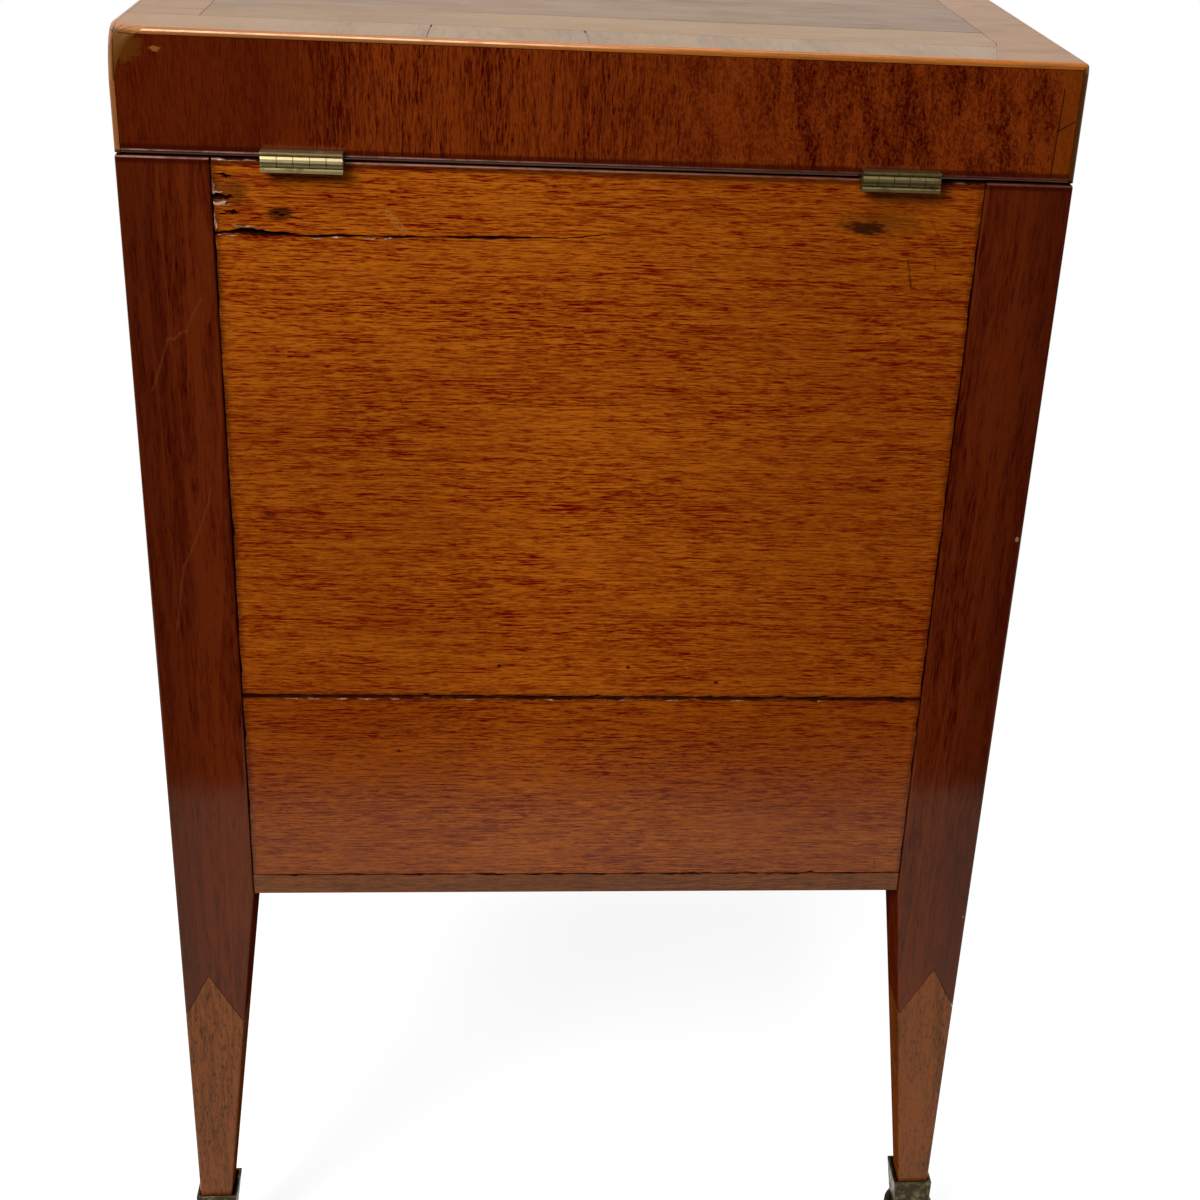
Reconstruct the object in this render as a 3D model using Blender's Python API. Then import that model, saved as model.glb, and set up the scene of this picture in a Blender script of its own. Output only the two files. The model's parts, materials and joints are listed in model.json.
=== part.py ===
"""Mahogany cellarette on four square tapered legs with brass cup castors.

Metres, +Z up, the front faces -Y and the hinged back faces +Y. The origin is on the floor under
the middle of the case. Left and right are those of someone who stands in front of it.
"""

import math

import bmesh
import bpy
from mathutils import Vector

# Driving dimensions of the case, legs and lid
WIDTH = 0.457
DEPTH = 0.445
CASE_BOTTOM = 0.284
CASE_HEIGHT = 0.4179
LOWER_TIER_HEIGHT = 0.129
LID_HEIGHT = 0.0573
FIT = 0.0003
EDGE_ROUND = 0.0012
INNER_ROUND = 0.0004

# Corner posts that run down as legs, and the spliced leg ends
POST_SIZE = 0.0433
LEG_END_SIZE = 0.0165
SPLICE_APEX_INSET = 0.0149
SPLICE_APEX_DROP = 0.057
SPLICE_OUTER_DROP = 0.0864
SPLICE_INNER_DROP = 0.091
SPLICE_GAP = 0.0007

# Boards between the posts
BOARD_THICKNESS = 0.016
PANEL_RECESS = 0.0006
TONGUE_THICKNESS = 0.007
TONGUE_LENGTH = 0.009
BOTTOM_THICKNESS = 0.0124
BACK_JOINT_GAP = 0.001
FLOOR_THICKNESS = 0.012

# Bottle dividers
DIVIDER_THICKNESS = 0.008
DIVIDER_HEIGHT = 0.18
HOUSING_DEPTH = 0.004
CELLS_PER_SIDE = 3

# Drawer and what it runs in
RAIL_HEIGHT = 0.014
KICKER_WIDTH = 0.037
GUIDE_HEIGHT = 0.03
DRAWER_PLAY = 0.0008
DRAWER_FRONT_THICKNESS = 0.018
DRAWER_SIDE_THICKNESS = 0.009
DRAWER_SIDE_HEIGHT = 0.088
DRAWER_BACK_HEIGHT = 0.074
DRAWER_BACK_ROOM = 0.0228
DRAWER_BOTTOM_THICKNESS = 0.006
DRAWER_BOTTOM_LIFT = 0.008
DRAWER_GROOVE_DEPTH = 0.004
DOVETAILS = 3
DOVETAIL_LENGTH = 0.012
DOVETAIL_ROOT = 0.004
DOVETAIL_NARROW = 0.013
DOVETAIL_FLARE = 0.0025
KNOB_INSET = 0.1335
KNOB_RADIUS = 0.0085
KNOB_PROJECTION = 0.0155
KNOB_BALL_DEPTH = 0.0074
KNOB_NECK_RADIUS = 0.0036
KNOB_ROSE_RADIUS = 0.0077
KNOB_ROSE_THICKNESS = 0.0014
KNOB_ARC_STEPS = 6
KNOB_SHANK_RADIUS = 0.0022
KNOB_NUT_RADIUS = 0.0045
KNOB_NUT_THICKNESS = 0.003

# Lid
LID_RAIL_THICKNESS = 0.016
LID_BOARD_THICKNESS = 0.012
LID_REBATE = 0.008
VENEER_THICKNESS = 0.0006
STRING_SIZE = 0.003
ARRIS_ROUND = 0.0026
ARRIS_STEPS = 4

# Stop hinges
HINGE_WIDTH = 0.0381
HINGE_INSET = 0.0865
HINGE_KNUCKLES = 5
LEAF_THICKNESS = 0.0011
LEAF_DEPTH = 0.0115
KNUCKLE_RADIUS = 0.0034
KNUCKLE_BORE = 0.0016
HINGE_PIN_RADIUS = 0.0012
STOP_THICKNESS = 0.001
STOP_ANGLE = 51.0
HINGE_LINK_INSET = 0.0002

# Lock
LOCK_WIDTH = 0.06
LOCK_HEIGHT = 0.045
LOCK_THICKNESS = 0.0107
STRIKE_WIDTH = 0.044
STRIKE_DEPTH = 0.0096
STRIKE_THICKNESS = 0.0012
LOOP_SPACING = 0.028
LOOP_WIDTH = 0.003
LOOP_DEPTH = 0.0074
LOOP_DROP = 0.0105
LOOP_HOLE_DROP = 0.0065
LOOP_PLAY = 0.001
BOLT_HEIGHT = 0.0038
BOLT_DEPTH = 0.0028
BOLT_ARM = 0.004
BOLT_TRAVEL = 0.006
ESCUTCHEON_WIDTH = 0.016
ESCUTCHEON_HEIGHT = 0.026
ESCUTCHEON_THICKNESS = 0.0015
ESCUTCHEON_DROP = 0.0027
KEYHOLE_DROP = 0.026
KEYHOLE_RADIUS = 0.0026
KEYHOLE_SLOT_WIDTH = 0.0024
KEYHOLE_SLOT_DROP = 0.008
KEYHOLE_DEPTH = 0.0036

# Castors
CUP_HEIGHT = 0.026
CUP_WALL = 0.0016
CUP_BASE = 0.002
CUP_CLEARANCE = 0.0005
CUP_RIM_SIZE = 0.0243
CUP_END_PLAY = 0.0008
PLATE_RADIUS = 0.0155
PLATE_THICKNESS = 0.003
SWIVEL_GAP = 0.0004
WHEEL_RADIUS = 0.014
WHEEL_WIDTH = 0.014
WHEEL_TOP_CLEARANCE = 0.0011
WHEEL_SIDE_CLEARANCE = 0.0008
WHEEL_ROUND = 0.0016
AXLE_RADIUS = 0.002
AXLE_CLEARANCE = 0.0004
CASTOR_TRAIL = 0.013
HORN_THICKNESS = 0.0032
HORN_BOSS_RADIUS = 0.0055
HORN_ARC_START = math.radians(207)
HORN_ARC_SWEEP = math.radians(198)
PINTLE_RADIUS = 0.0029
PINTLE_HEAD_RADIUS = 0.0042
PINTLE_HEAD_THICKNESS = 0.002

SMALL_ROUND_SIDES = 16
ROUND_SIDES = 28

# Heights and planes worked out from the driving dimensions
CASE_TOP = CASE_BOTTOM + CASE_HEIGHT
BOTTOM_TOP = CASE_BOTTOM + BOTTOM_THICKNESS
TIER_LINE = CASE_BOTTOM + LOWER_TIER_HEIGHT
LID_GAP = 3 * FIT
LID_BOTTOM = CASE_TOP + LID_GAP
LID_TOP = LID_BOTTOM + LID_HEIGHT
WELL_FLOOR_TOP = TIER_LINE + FIT + FLOOR_THICKNESS
INSIDE_OFFSET = PANEL_RECESS + BOARD_THICKNESS
WHEEL_TOP = 2 * WHEEL_RADIUS
PLATE_BOTTOM = WHEEL_TOP + WHEEL_TOP_CLEARANCE
PLATE_TOP = PLATE_BOTTOM + PLATE_THICKNESS
CUP_BOTTOM = PLATE_TOP + SWIVEL_GAP
CUP_FLOOR = CUP_BOTTOM + CUP_BASE
CUP_RIM = CUP_BOTTOM + CUP_HEIGHT
LEG_END = CUP_FLOOR + FIT
LEG_TAPER = (POST_SIZE - LEG_END_SIZE) / (CASE_BOTTOM - LEG_END)
HINGE_OUT = KNUCKLE_RADIUS + FIT
HINGE_AXIS = Vector((0, DEPTH / 2 + HINGE_OUT, CASE_TOP + LID_GAP / 2))
MARGIN = 0.02
UPRIGHT_SHARE = 0.9
SHARP_ANGLE = math.radians(30)
ROUND_PROFILE = 0.5

SIDES = ("back", "front", "left", "right")
CORNERS = {
    "back_left": (-1, 1),
    "back_right": (1, 1),
    "front_left": (-1, -1),
    "front_right": (1, -1),
}


def clear_scene():
    for obj in list(bpy.data.objects):
        bpy.data.objects.remove(obj, do_unlink=True)


def make_material(name, colour, roughness, metallic=0.0):
    material = bpy.data.materials.new(name)
    material.use_nodes = True
    shader = material.node_tree.nodes["Principled BSDF"]
    shader.inputs["Base Color"].default_value = (*colour, 1.0)
    shader.inputs["Roughness"].default_value = roughness
    shader.inputs["Metallic"].default_value = metallic
    material.diffuse_color = (*colour, 1.0)
    return material


clear_scene()
DARK_WOOD = make_material("dark_mahogany", (0.07, 0.009, 0.002), 0.35)
LID_WOOD = make_material("lid_mahogany", (0.1, 0.013, 0.002), 0.3)
BACK_WOOD = make_material("case_mahogany", (0.22, 0.042, 0.002), 0.4)
TIP_WOOD = make_material("spliced_mahogany", (0.15, 0.05, 0.018), 0.45)
STRING_WOOD = make_material("boxwood", (0.45, 0.2, 0.08), 0.35)
PLAIN_WOOD = make_material("poplar", (0.42, 0.3, 0.17), 0.6)
BRASS = make_material("brass", (0.35, 0.24, 0.1), 0.35, 1.0)
IRON = make_material("lock_iron", (0.12, 0.11, 0.1), 0.5, 1.0)


def make_frame(name, place):
    """An empty at a joint's axis, which carries the pieces that move about it."""
    frame = bpy.data.objects.new(name, None)
    frame.location = place
    bpy.context.collection.objects.link(frame)
    return frame


CASE_FRAME = make_frame("case_frame", (0, 0, 0))
LID_FRAME = make_frame("lid_frame", HINGE_AXIS)
DRAWER_FRAME = make_frame("drawer_frame", (0, -DEPTH / 2, BOTTOM_TOP))
BOLT_FRAME = make_frame("bolt_frame", (0, -DEPTH / 2, CASE_TOP))


def shade(mesh):
    """Shades a mesh smooth but for its sharp edges."""
    mesh.shade_smooth()
    mesh.set_sharp_from_angle(angle=SHARP_ANGLE)


def add_object(name, mesh_builder, material, frame):
    bmesh.ops.recalc_face_normals(mesh_builder, faces=mesh_builder.faces)
    bmesh.ops.translate(mesh_builder, verts=mesh_builder.verts, vec=-frame.location)
    mesh = bpy.data.meshes.new(name)
    mesh_builder.to_mesh(mesh)
    mesh_builder.free()
    shade(mesh)
    mesh.materials.append(material)
    obj = bpy.data.objects.new(name, mesh)
    obj.parent = frame
    bpy.context.collection.objects.link(obj)
    return obj


def combine(obj, tool, operation, keep_tool=False):
    """Joins or cuts obj with tool in place, and drops the tool unless it is used again."""
    tool.hide_render = True
    tool.display_type = "WIRE"
    modifier = obj.modifiers.new(operation.lower(), "BOOLEAN")
    modifier.operation = operation
    modifier.solver = "EXACT"
    modifier.object = tool
    bpy.context.view_layer.update()
    graph = bpy.context.evaluated_depsgraph_get()
    mesh = bpy.data.meshes.new_from_object(obj.evaluated_get(graph))
    obj.modifiers.clear()
    shade(mesh)
    obj.data = mesh
    if not keep_tool:
        bpy.data.objects.remove(tool, do_unlink=True)
    return obj


def soften(mesh_builder, width, segments=1, keep=None):
    """Rounds the sharp outward edges that keep accepts."""
    mesh_builder.normal_update()
    edges = [
        edge
        for edge in mesh_builder.edges
        if edge.is_convex
        and edge.calc_face_angle() > SHARP_ANGLE
        and (keep is None or keep(edge))
    ]
    bmesh.ops.bevel(
        mesh_builder,
        geom=edges,
        offset=width,
        offset_type="OFFSET",
        segments=segments,
        profile=ROUND_PROFILE,
        affect="EDGES",
        clamp_overlap=True,
    )


def carve(solids, voids=()):
    """A closed mesh of the axis-aligned boxes in solids less those in voids.

    A box is (x low, x high, y low, y high, z low, z high).
    """
    breaks = []
    for axis in range(3):
        ends = {box[i] for box in (*solids, *voids) for i in (2 * axis, 2 * axis + 1)}
        breaks.append(sorted(ends))
    counts = [len(values) - 1 for values in breaks]

    def holds(box, middle):
        return all(box[2 * axis] < middle[axis] < box[2 * axis + 1] for axis in range(3))

    filled = set()
    for i in range(counts[0]):
        for j in range(counts[1]):
            for k in range(counts[2]):
                cell = (i, j, k)
                middle = [(breaks[a][cell[a]] + breaks[a][cell[a] + 1]) / 2 for a in range(3)]
                inside = any(holds(box, middle) for box in solids)
                if inside and not any(holds(box, middle) for box in voids):
                    filled.add(cell)
    mesh_builder = bmesh.new()
    points = {}

    def point(index):
        if index not in points:
            points[index] = mesh_builder.verts.new([breaks[a][index[a]] for a in range(3)])
        return points[index]

    for cell in sorted(filled):
        for axis in range(3):
            for step in (0, 1):
                beside = list(cell)
                beside[axis] += 1 if step else -1
                if tuple(beside) in filled:
                    continue
                first, second = [a for a in range(3) if a != axis]
                corners = []
                for a, b in ((0, 0), (1, 0), (1, 1), (0, 1)):
                    index = list(cell)
                    index[axis] += step
                    index[first] += a
                    index[second] += b
                    corners.append(point(tuple(index)))
                mesh_builder.faces.new(corners)
    bmesh.ops.recalc_face_normals(mesh_builder, faces=mesh_builder.faces)
    return mesh_builder


def prism(outline, low, high, place):
    """A closed mesh between two copies of an outline; place(a, b, along) gives each point."""
    mesh_builder = bmesh.new()
    near = [mesh_builder.verts.new(place(a, b, low)) for a, b in outline]
    far = [mesh_builder.verts.new(place(a, b, high)) for a, b in outline]
    mesh_builder.faces.new(near)
    mesh_builder.faces.new(far[::-1])
    count = len(outline)
    for i in range(count):
        j = (i + 1) % count
        mesh_builder.faces.new((near[i], far[i], far[j], near[j]))
    return mesh_builder


def circle(radius, sides, centre=(0.0, 0.0), start=0.0, sweep=2 * math.pi, closed=True):
    """Points round a circle or an arc; a closed one leaves out the repeated last point."""
    steps = sides if closed else sides + 1
    return [
        (
            centre[0] + radius * math.cos(start + sweep * i / sides),
            centre[1] + radius * math.sin(start + sweep * i / sides),
        )
        for i in range(steps)
    ]


def along_y(a, b, along):
    return a, along, b


def along_z(a, b, along):
    return a, b, along


def turned(profile, sides, place, closed=False):
    """A turned solid; the profile's (radius, along) points end on the axis unless it is closed."""
    mesh_builder = bmesh.new()
    rings = []
    for radius, along in profile:
        if radius == 0:
            rings.append([mesh_builder.verts.new(place(0, 0, along))])
            continue
        rings.append([mesh_builder.verts.new(place(a, b, along)) for a, b in circle(radius, sides)])
    pairs = list(zip(rings, rings[1:]))
    if closed:
        pairs.append((rings[-1], rings[0]))
    for first, second in pairs:
        for i in range(sides):
            j = (i + 1) % sides
            corners = [
                first[i % len(first)],
                first[j % len(first)],
                second[j % len(second)],
                second[i % len(second)],
            ]
            mesh_builder.faces.new(list(dict.fromkeys(corners)))
    return mesh_builder


def wall_box(side, along_low, along_high, inset_low, inset_high, low, high):
    """A box given by its run along one wall and its depth inwards from that wall's outer face."""
    if side == "back":
        return along_low, along_high, DEPTH / 2 - inset_high, DEPTH / 2 - inset_low, low, high
    if side == "front":
        return along_low, along_high, -DEPTH / 2 + inset_low, -DEPTH / 2 + inset_high, low, high
    if side == "left":
        return -WIDTH / 2 + inset_low, -WIDTH / 2 + inset_high, along_low, along_high, low, high
    return WIDTH / 2 - inset_high, WIDTH / 2 - inset_low, along_low, along_high, low, high


def half_run(side):
    """Half the outer length of a wall."""
    return WIDTH / 2 if side in ("back", "front") else DEPTH / 2


def wall_inset(side, point):
    """How far a point lies in from a wall's outer face."""
    outward = {"back": point.y, "front": -point.y, "left": -point.x, "right": point.x}[side]
    return (DEPTH if side in ("back", "front") else WIDTH) / 2 - outward


def hinge_centres():
    """Where each hinge stands along the back."""
    centre = WIDTH / 2 - HINGE_INSET
    return {"left": -centre, "right": centre}


def hinge_mortises(low, high):
    """Shallow boxes, open to the back, that let the hinge leaves into the wood."""
    half = HINGE_WIDTH / 2 + FIT
    return [
        wall_box("back", centre - half, centre + half, -MARGIN, LEAF_DEPTH + 2 * FIT, low, high)
        for centre in hinge_centres().values()
    ]


def corner_place(signs):
    """Turns insets from a corner's two outer faces, and a height, into a point."""

    def place(inset_x, inset_y, height):
        return signs[0] * (WIDTH / 2 - inset_x), signs[1] * (DEPTH / 2 - inset_y), height

    return place


# Posts and legs


def leg_size(height):
    """The square section of a leg: straight in the case, tapered on its two inner faces below it."""
    return POST_SIZE - LEG_TAPER * max(0.0, CASE_BOTTOM - height)


def leg_mesh(outline, signs):
    """A length of leg whose back view is an outline of (inset, height)."""
    place = corner_place(signs)
    mesh_builder = bmesh.new()
    outer = [mesh_builder.verts.new(place(inset, 0, height)) for inset, height in outline]
    inner = [mesh_builder.verts.new(place(inset, leg_size(height), height)) for inset, height in outline]
    count = len(outline)
    mesh_builder.faces.new(outer)
    above = [inner[i] for i in range(count) if outline[i][1] >= CASE_BOTTOM]
    below = [inner[i] for i in range(count) if outline[i][1] <= CASE_BOTTOM]
    for corners in (above, below):
        if len(corners) > 2:
            mesh_builder.faces.new(corners)
    for i in range(count):
        j = (i + 1) % count
        mesh_builder.faces.new((outer[i], outer[j], inner[j], inner[i]))
    bmesh.ops.recalc_face_normals(mesh_builder, faces=mesh_builder.faces)
    return mesh_builder


def tongue_insets():
    """The depth range of the boards' tongues, measured in from a wall's outer face."""
    middle = PANEL_RECESS + BOARD_THICKNESS / 2
    return middle - TONGUE_THICKNESS / 2, middle + TONGUE_THICKNESS / 2


def groove_cutter(side):
    """Clears the grooves that a wall's tongues stand in."""
    near, far = tongue_insets()
    low = TIER_LINE - RAIL_HEIGHT - FIT if side == "front" else BOTTOM_TOP
    reach = half_run(side) - POST_SIZE + TONGUE_LENGTH + FIT
    box = wall_box(side, -reach, reach, near - FIT, far + FIT, low, CASE_TOP + MARGIN)
    return add_object(f"{side}_groove_cutter", carve([box]), DARK_WOOD, CASE_FRAME)


def is_upright(edge):
    first, second = (vert.co for vert in edge.verts)
    return abs(first.z - second.z) > UPRIGHT_SHARE * edge.calc_length()


def build_legs():
    cutters = {side: groove_cutter(side) for side in SIDES}
    apex = CASE_BOTTOM - SPLICE_APEX_DROP
    outer = CASE_BOTTOM - SPLICE_OUTER_DROP
    inner = CASE_BOTTOM - SPLICE_INNER_DROP
    post_outline = [
        (0, CASE_TOP),
        (POST_SIZE, CASE_TOP),
        (POST_SIZE, CASE_BOTTOM),
        (leg_size(inner), inner),
        (SPLICE_APEX_INSET, apex),
        (0, outer),
        (0, CASE_BOTTOM),
    ]
    tip_outline = [
        (SPLICE_APEX_INSET, apex - SPLICE_GAP),
        (leg_size(inner - SPLICE_GAP), inner - SPLICE_GAP),
        (leg_size(LEG_END), LEG_END),
        (0, LEG_END),
        (0, outer - SPLICE_GAP),
    ]

    def long_or_top(edge):
        return is_upright(edge) or all(vert.co.z > CASE_TOP - FIT for vert in edge.verts)

    for corner, signs in CORNERS.items():
        mesh_builder = leg_mesh(post_outline, signs)
        soften(mesh_builder, EDGE_ROUND, 2, long_or_top)
        post = add_object(f"post_{corner}", mesh_builder, DARK_WOOD, CASE_FRAME)
        for side in SIDES:
            if side in corner:
                combine(post, cutters[side], "DIFFERENCE", keep_tool=True)
        mesh_builder = leg_mesh(tip_outline, signs)
        soften(mesh_builder, EDGE_ROUND, 2, is_upright)
        tip = add_object(f"leg_tip_{corner}", mesh_builder, TIP_WOOD, CASE_FRAME)
        head_room = PINTLE_HEAD_RADIUS + AXLE_CLEARANCE
        depth = FIT + PINTLE_HEAD_THICKNESS + AXLE_CLEARANCE
        swivel = swivel_place(signs)
        hole = circle(head_room, SMALL_ROUND_SIDES, (swivel.x, swivel.y))
        bore = prism(hole, LEG_END - MARGIN, LEG_END + depth, along_z)
        combine(tip, add_object("tip_bore_cutter", bore, BRASS, CASE_FRAME), "DIFFERENCE")
    for cutter in cutters.values():
        bpy.data.objects.remove(cutter, do_unlink=True)


# Boards of the case


def inside_half(side):
    """Half the clear width between the two boards that a wall runs between."""
    return half_run(side) - INSIDE_OFFSET


def board_boxes(side, low, high):
    """A wall's board with a tongue at each end, as boxes."""
    body = half_run(side) - POST_SIZE - FIT
    reach = half_run(side) - POST_SIZE + TONGUE_LENGTH
    near, far = tongue_insets()
    return [
        wall_box(side, -body, body, PANEL_RECESS, INSIDE_OFFSET, low, high),
        wall_box(side, -reach, reach, near, far, low, high),
    ]


def divider_centres(side):
    """Where the dividers that meet a wall stand along it."""
    clear = 2 * inside_half(side)
    cell = (clear - (CELLS_PER_SIDE - 1) * DIVIDER_THICKNESS) / CELLS_PER_SIDE
    pitch = cell + DIVIDER_THICKNESS
    return [(i - (CELLS_PER_SIDE - 2) / 2) * pitch for i in range(CELLS_PER_SIDE - 1)]


def divider_housings(side):
    """Shallow upright slots in a board's inner face for the ends of the dividers."""
    half = DIVIDER_THICKNESS / 2 + FIT
    top = WELL_FLOOR_TOP + FIT + DIVIDER_HEIGHT + FIT
    inset = INSIDE_OFFSET - HOUSING_DEPTH
    return [
        wall_box(side, centre - half, centre + half, inset, INSIDE_OFFSET + MARGIN, WELL_FLOOR_TOP, top)
        for centre in divider_centres(side)
    ]


def add_board(name, side, low, high, voids=()):
    mesh_builder = carve(board_boxes(side, low, high), voids)

    def meets_lid(edge):
        return all(
            vert.co.z > CASE_TOP - FIT and wall_inset(side, vert.co) < PANEL_RECESS + FIT
            for vert in edge.verts
        )

    soften(mesh_builder, EDGE_ROUND, ARRIS_STEPS, meets_lid)
    soften(mesh_builder, INNER_ROUND)
    return add_object(name, mesh_builder, BACK_WOOD, CASE_FRAME)


def cross_boxes(reach_x, reach_y, notch_x, notch_y, low, high):
    """A board whose four corners are notched round the posts."""
    return [
        (-reach_x, reach_x, -notch_y, notch_y, low, high),
        (-notch_x, notch_x, -reach_y, reach_y, low, high),
    ]


def build_case():
    joint = BACK_JOINT_GAP / 2
    back = add_board("back_upper_board", "back", TIER_LINE + joint, CASE_TOP, divider_housings("back"))
    mortises = carve(hinge_mortises(CASE_TOP - LEAF_THICKNESS, CASE_TOP + MARGIN))
    combine(back, add_object("hinge_cutter", mortises, BACK_WOOD, CASE_FRAME), "DIFFERENCE")
    add_board("back_lower_board", "back", BOTTOM_TOP + FIT, TIER_LINE - joint)
    for side in ("left", "right"):
        add_board(f"{side}_side_board", side, BOTTOM_TOP + FIT, CASE_TOP, divider_housings(side))
    front = add_board(
        "front_board", "front", TIER_LINE + FIT, CASE_TOP, [*divider_housings("front"), lock_recess()]
    )
    combine(front, keyhole_cutter(), "DIFFERENCE")
    combine(front, escutcheon_object("escutcheon_cutter", FIT), "DIFFERENCE")
    add_board("drawer_rail", "front", TIER_LINE - RAIL_HEIGHT, TIER_LINE)

    notch_x = WIDTH / 2 - POST_SIZE - FIT
    notch_y = DEPTH / 2 - POST_SIZE - FIT
    reach_x = WIDTH / 2 - PANEL_RECESS
    reach_y = DEPTH / 2 - PANEL_RECESS
    mesh_builder = carve(cross_boxes(reach_x, reach_y, notch_x, notch_y, CASE_BOTTOM, BOTTOM_TOP))
    soften(mesh_builder, INNER_ROUND)
    add_object("bottom_board", mesh_builder, BACK_WOOD, CASE_FRAME)

    inside_x = inside_half("back") - FIT
    inside_y = inside_half("left") - FIT
    floor_low = TIER_LINE + FIT
    mesh_builder = carve(cross_boxes(inside_x, inside_y, notch_x, notch_y, floor_low, WELL_FLOOR_TOP))
    add_object("well_floor", mesh_builder, PLAIN_WOOD, CASE_FRAME)

    for side in ("left", "right"):
        inner = INSIDE_OFFSET + FIT
        kicker_low = TIER_LINE - RAIL_HEIGHT
        kicker = wall_box(side, -notch_y, notch_y, inner, inner + KICKER_WIDTH, kicker_low, TIER_LINE)
        add_object(f"kicker_{side}", carve([kicker]), PLAIN_WOOD, CASE_FRAME)
        guide_low = BOTTOM_TOP + FIT
        guide = wall_box(side, -notch_y, notch_y, inner, POST_SIZE, guide_low, guide_low + GUIDE_HEIGHT)
        add_object(f"drawer_guide_{side}", carve([guide]), PLAIN_WOOD, CASE_FRAME)


def build_dividers():
    """Boards halved over one another, their ends housed in the walls."""
    low = WELL_FLOOR_TOP + FIT
    high = low + DIVIDER_HEIGHT
    middle = (low + high) / 2
    half = DIVIDER_THICKNESS / 2
    reach_x = inside_half("back") + HOUSING_DEPTH - FIT
    reach_y = inside_half("left") + HOUSING_DEPTH - FIT
    across = divider_centres("left")
    along = divider_centres("back")
    slot = half + FIT
    for number, y in enumerate(across, 1):
        slot_low, slot_high = middle - FIT / 2, high + MARGIN
        voids = [(x - slot, x + slot, y - MARGIN, y + MARGIN, slot_low, slot_high) for x in along]
        mesh_builder = carve([(-reach_x, reach_x, y - half, y + half, low, high)], voids)
        add_object(f"cross_divider_{number}", mesh_builder, PLAIN_WOOD, CASE_FRAME)
    for number, x in enumerate(along, 1):
        slot_low, slot_high = low - MARGIN, middle + FIT / 2
        voids = [(x - MARGIN, x + MARGIN, y - slot, y + slot, slot_low, slot_high) for y in across]
        mesh_builder = carve([(x - half, x + half, -reach_y, reach_y, low, high)], voids)
        add_object(f"long_divider_{number}", mesh_builder, PLAIN_WOOD, CASE_FRAME)


# Lock in the front board and its catch under the lid


LOCK_INSET = INSIDE_OFFSET - LOCK_THICKNESS
LOCK_MIDDLE = LOCK_INSET + LOCK_THICKNESS / 2
LOCK_BOTTOM = CASE_TOP - LOCK_HEIGHT
LOOP_HOLE = LID_BOTTOM - LOOP_HOLE_DROP
KEYHOLE_HEIGHT = CASE_TOP - KEYHOLE_DROP


def front_box(low_x, high_x, inset_low, inset_high, low, high):
    return wall_box("front", low_x, high_x, inset_low, inset_high, low, high)


def lock_recess():
    half = LOCK_WIDTH / 2 + FIT
    near, far = LOCK_INSET - FIT, INSIDE_OFFSET + MARGIN
    return front_box(-half, half, near, far, LOCK_BOTTOM - FIT, CASE_TOP + MARGIN)


def bolt_boxes(grow=0.0, travel=0.0):
    """A bar below the loops with two arms whose noses point at the loops' holes."""
    near = LOCK_MIDDLE - BOLT_DEPTH / 2 - grow
    far = LOCK_MIDDLE + BOLT_DEPTH / 2 + grow
    nose_low = LOOP_HOLE - BOLT_HEIGHT / 2
    bar_high = LID_BOTTOM - LOOP_DROP - 2 * FIT
    bar_low = bar_high - BOLT_HEIGHT
    boxes = []
    starts = []
    for side in (-1, 1):
        face = side * LOOP_SPACING / 2 - LOOP_WIDTH / 2 - LOOP_PLAY
        arm = face - BOLT_TRAVEL - BOLT_ARM
        starts.append(arm)
        boxes.append((arm, face, nose_low, nose_low + BOLT_HEIGHT))
        boxes.append((arm, arm + BOLT_ARM, bar_low, nose_low + BOLT_HEIGHT))
    boxes.append((starts[0], starts[1] + BOLT_ARM, bar_low, bar_high))
    return [
        front_box(low - grow, high + grow + travel, near, far, bottom - grow, top + grow)
        for low, high, bottom, top in boxes
    ]


def keyhole_cutter():
    inset_end = LOCK_INSET + KEYHOLE_DEPTH
    start_angle = -math.pi / 2 + math.asin(KEYHOLE_SLOT_WIDTH / 2 / KEYHOLE_RADIUS)
    sweep = 2 * math.pi - 2 * math.asin(KEYHOLE_SLOT_WIDTH / 2 / KEYHOLE_RADIUS)
    centre = (0, KEYHOLE_HEIGHT)
    outline = circle(KEYHOLE_RADIUS, SMALL_ROUND_SIDES, centre, start_angle, sweep, closed=False)
    slot_end = KEYHOLE_HEIGHT - KEYHOLE_SLOT_DROP
    outline += [(-KEYHOLE_SLOT_WIDTH / 2, slot_end), (KEYHOLE_SLOT_WIDTH / 2, slot_end)]
    mesh_builder = prism(outline, -DEPTH / 2 - MARGIN, -DEPTH / 2 + inset_end, along_y)
    return add_object("keyhole_cutter", mesh_builder, BRASS, CASE_FRAME)


def escutcheon_object(name, grow):
    """An oval plate let in flush round the keyhole."""
    centre = KEYHOLE_HEIGHT - ESCUTCHEON_DROP
    outline = [
        (a * (ESCUTCHEON_WIDTH / 2 + grow), centre + b * (ESCUTCHEON_HEIGHT / 2 + grow))
        for a, b in circle(1.0, ROUND_SIDES)
    ]
    face = -DEPTH / 2 + PANEL_RECESS
    outer = face - (MARGIN if grow else 0.0)
    mesh_builder = prism(outline, outer, face + ESCUTCHEON_THICKNESS + grow, along_y)
    return add_object(name, mesh_builder, BRASS, CASE_FRAME)


def strike_plate(grow=0.0):
    """The strike's plate, let in flush under the lid's front rail, or the recess for it."""
    half = STRIKE_WIDTH / 2 + grow
    near = LOCK_MIDDLE - STRIKE_DEPTH / 2 - grow
    far = LOCK_MIDDLE + STRIKE_DEPTH / 2 + grow
    low = LID_BOTTOM - (MARGIN if grow else 0.0)
    return front_box(-half, half, near, far, low, LID_BOTTOM + STRIKE_THICKNESS + grow)


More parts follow.
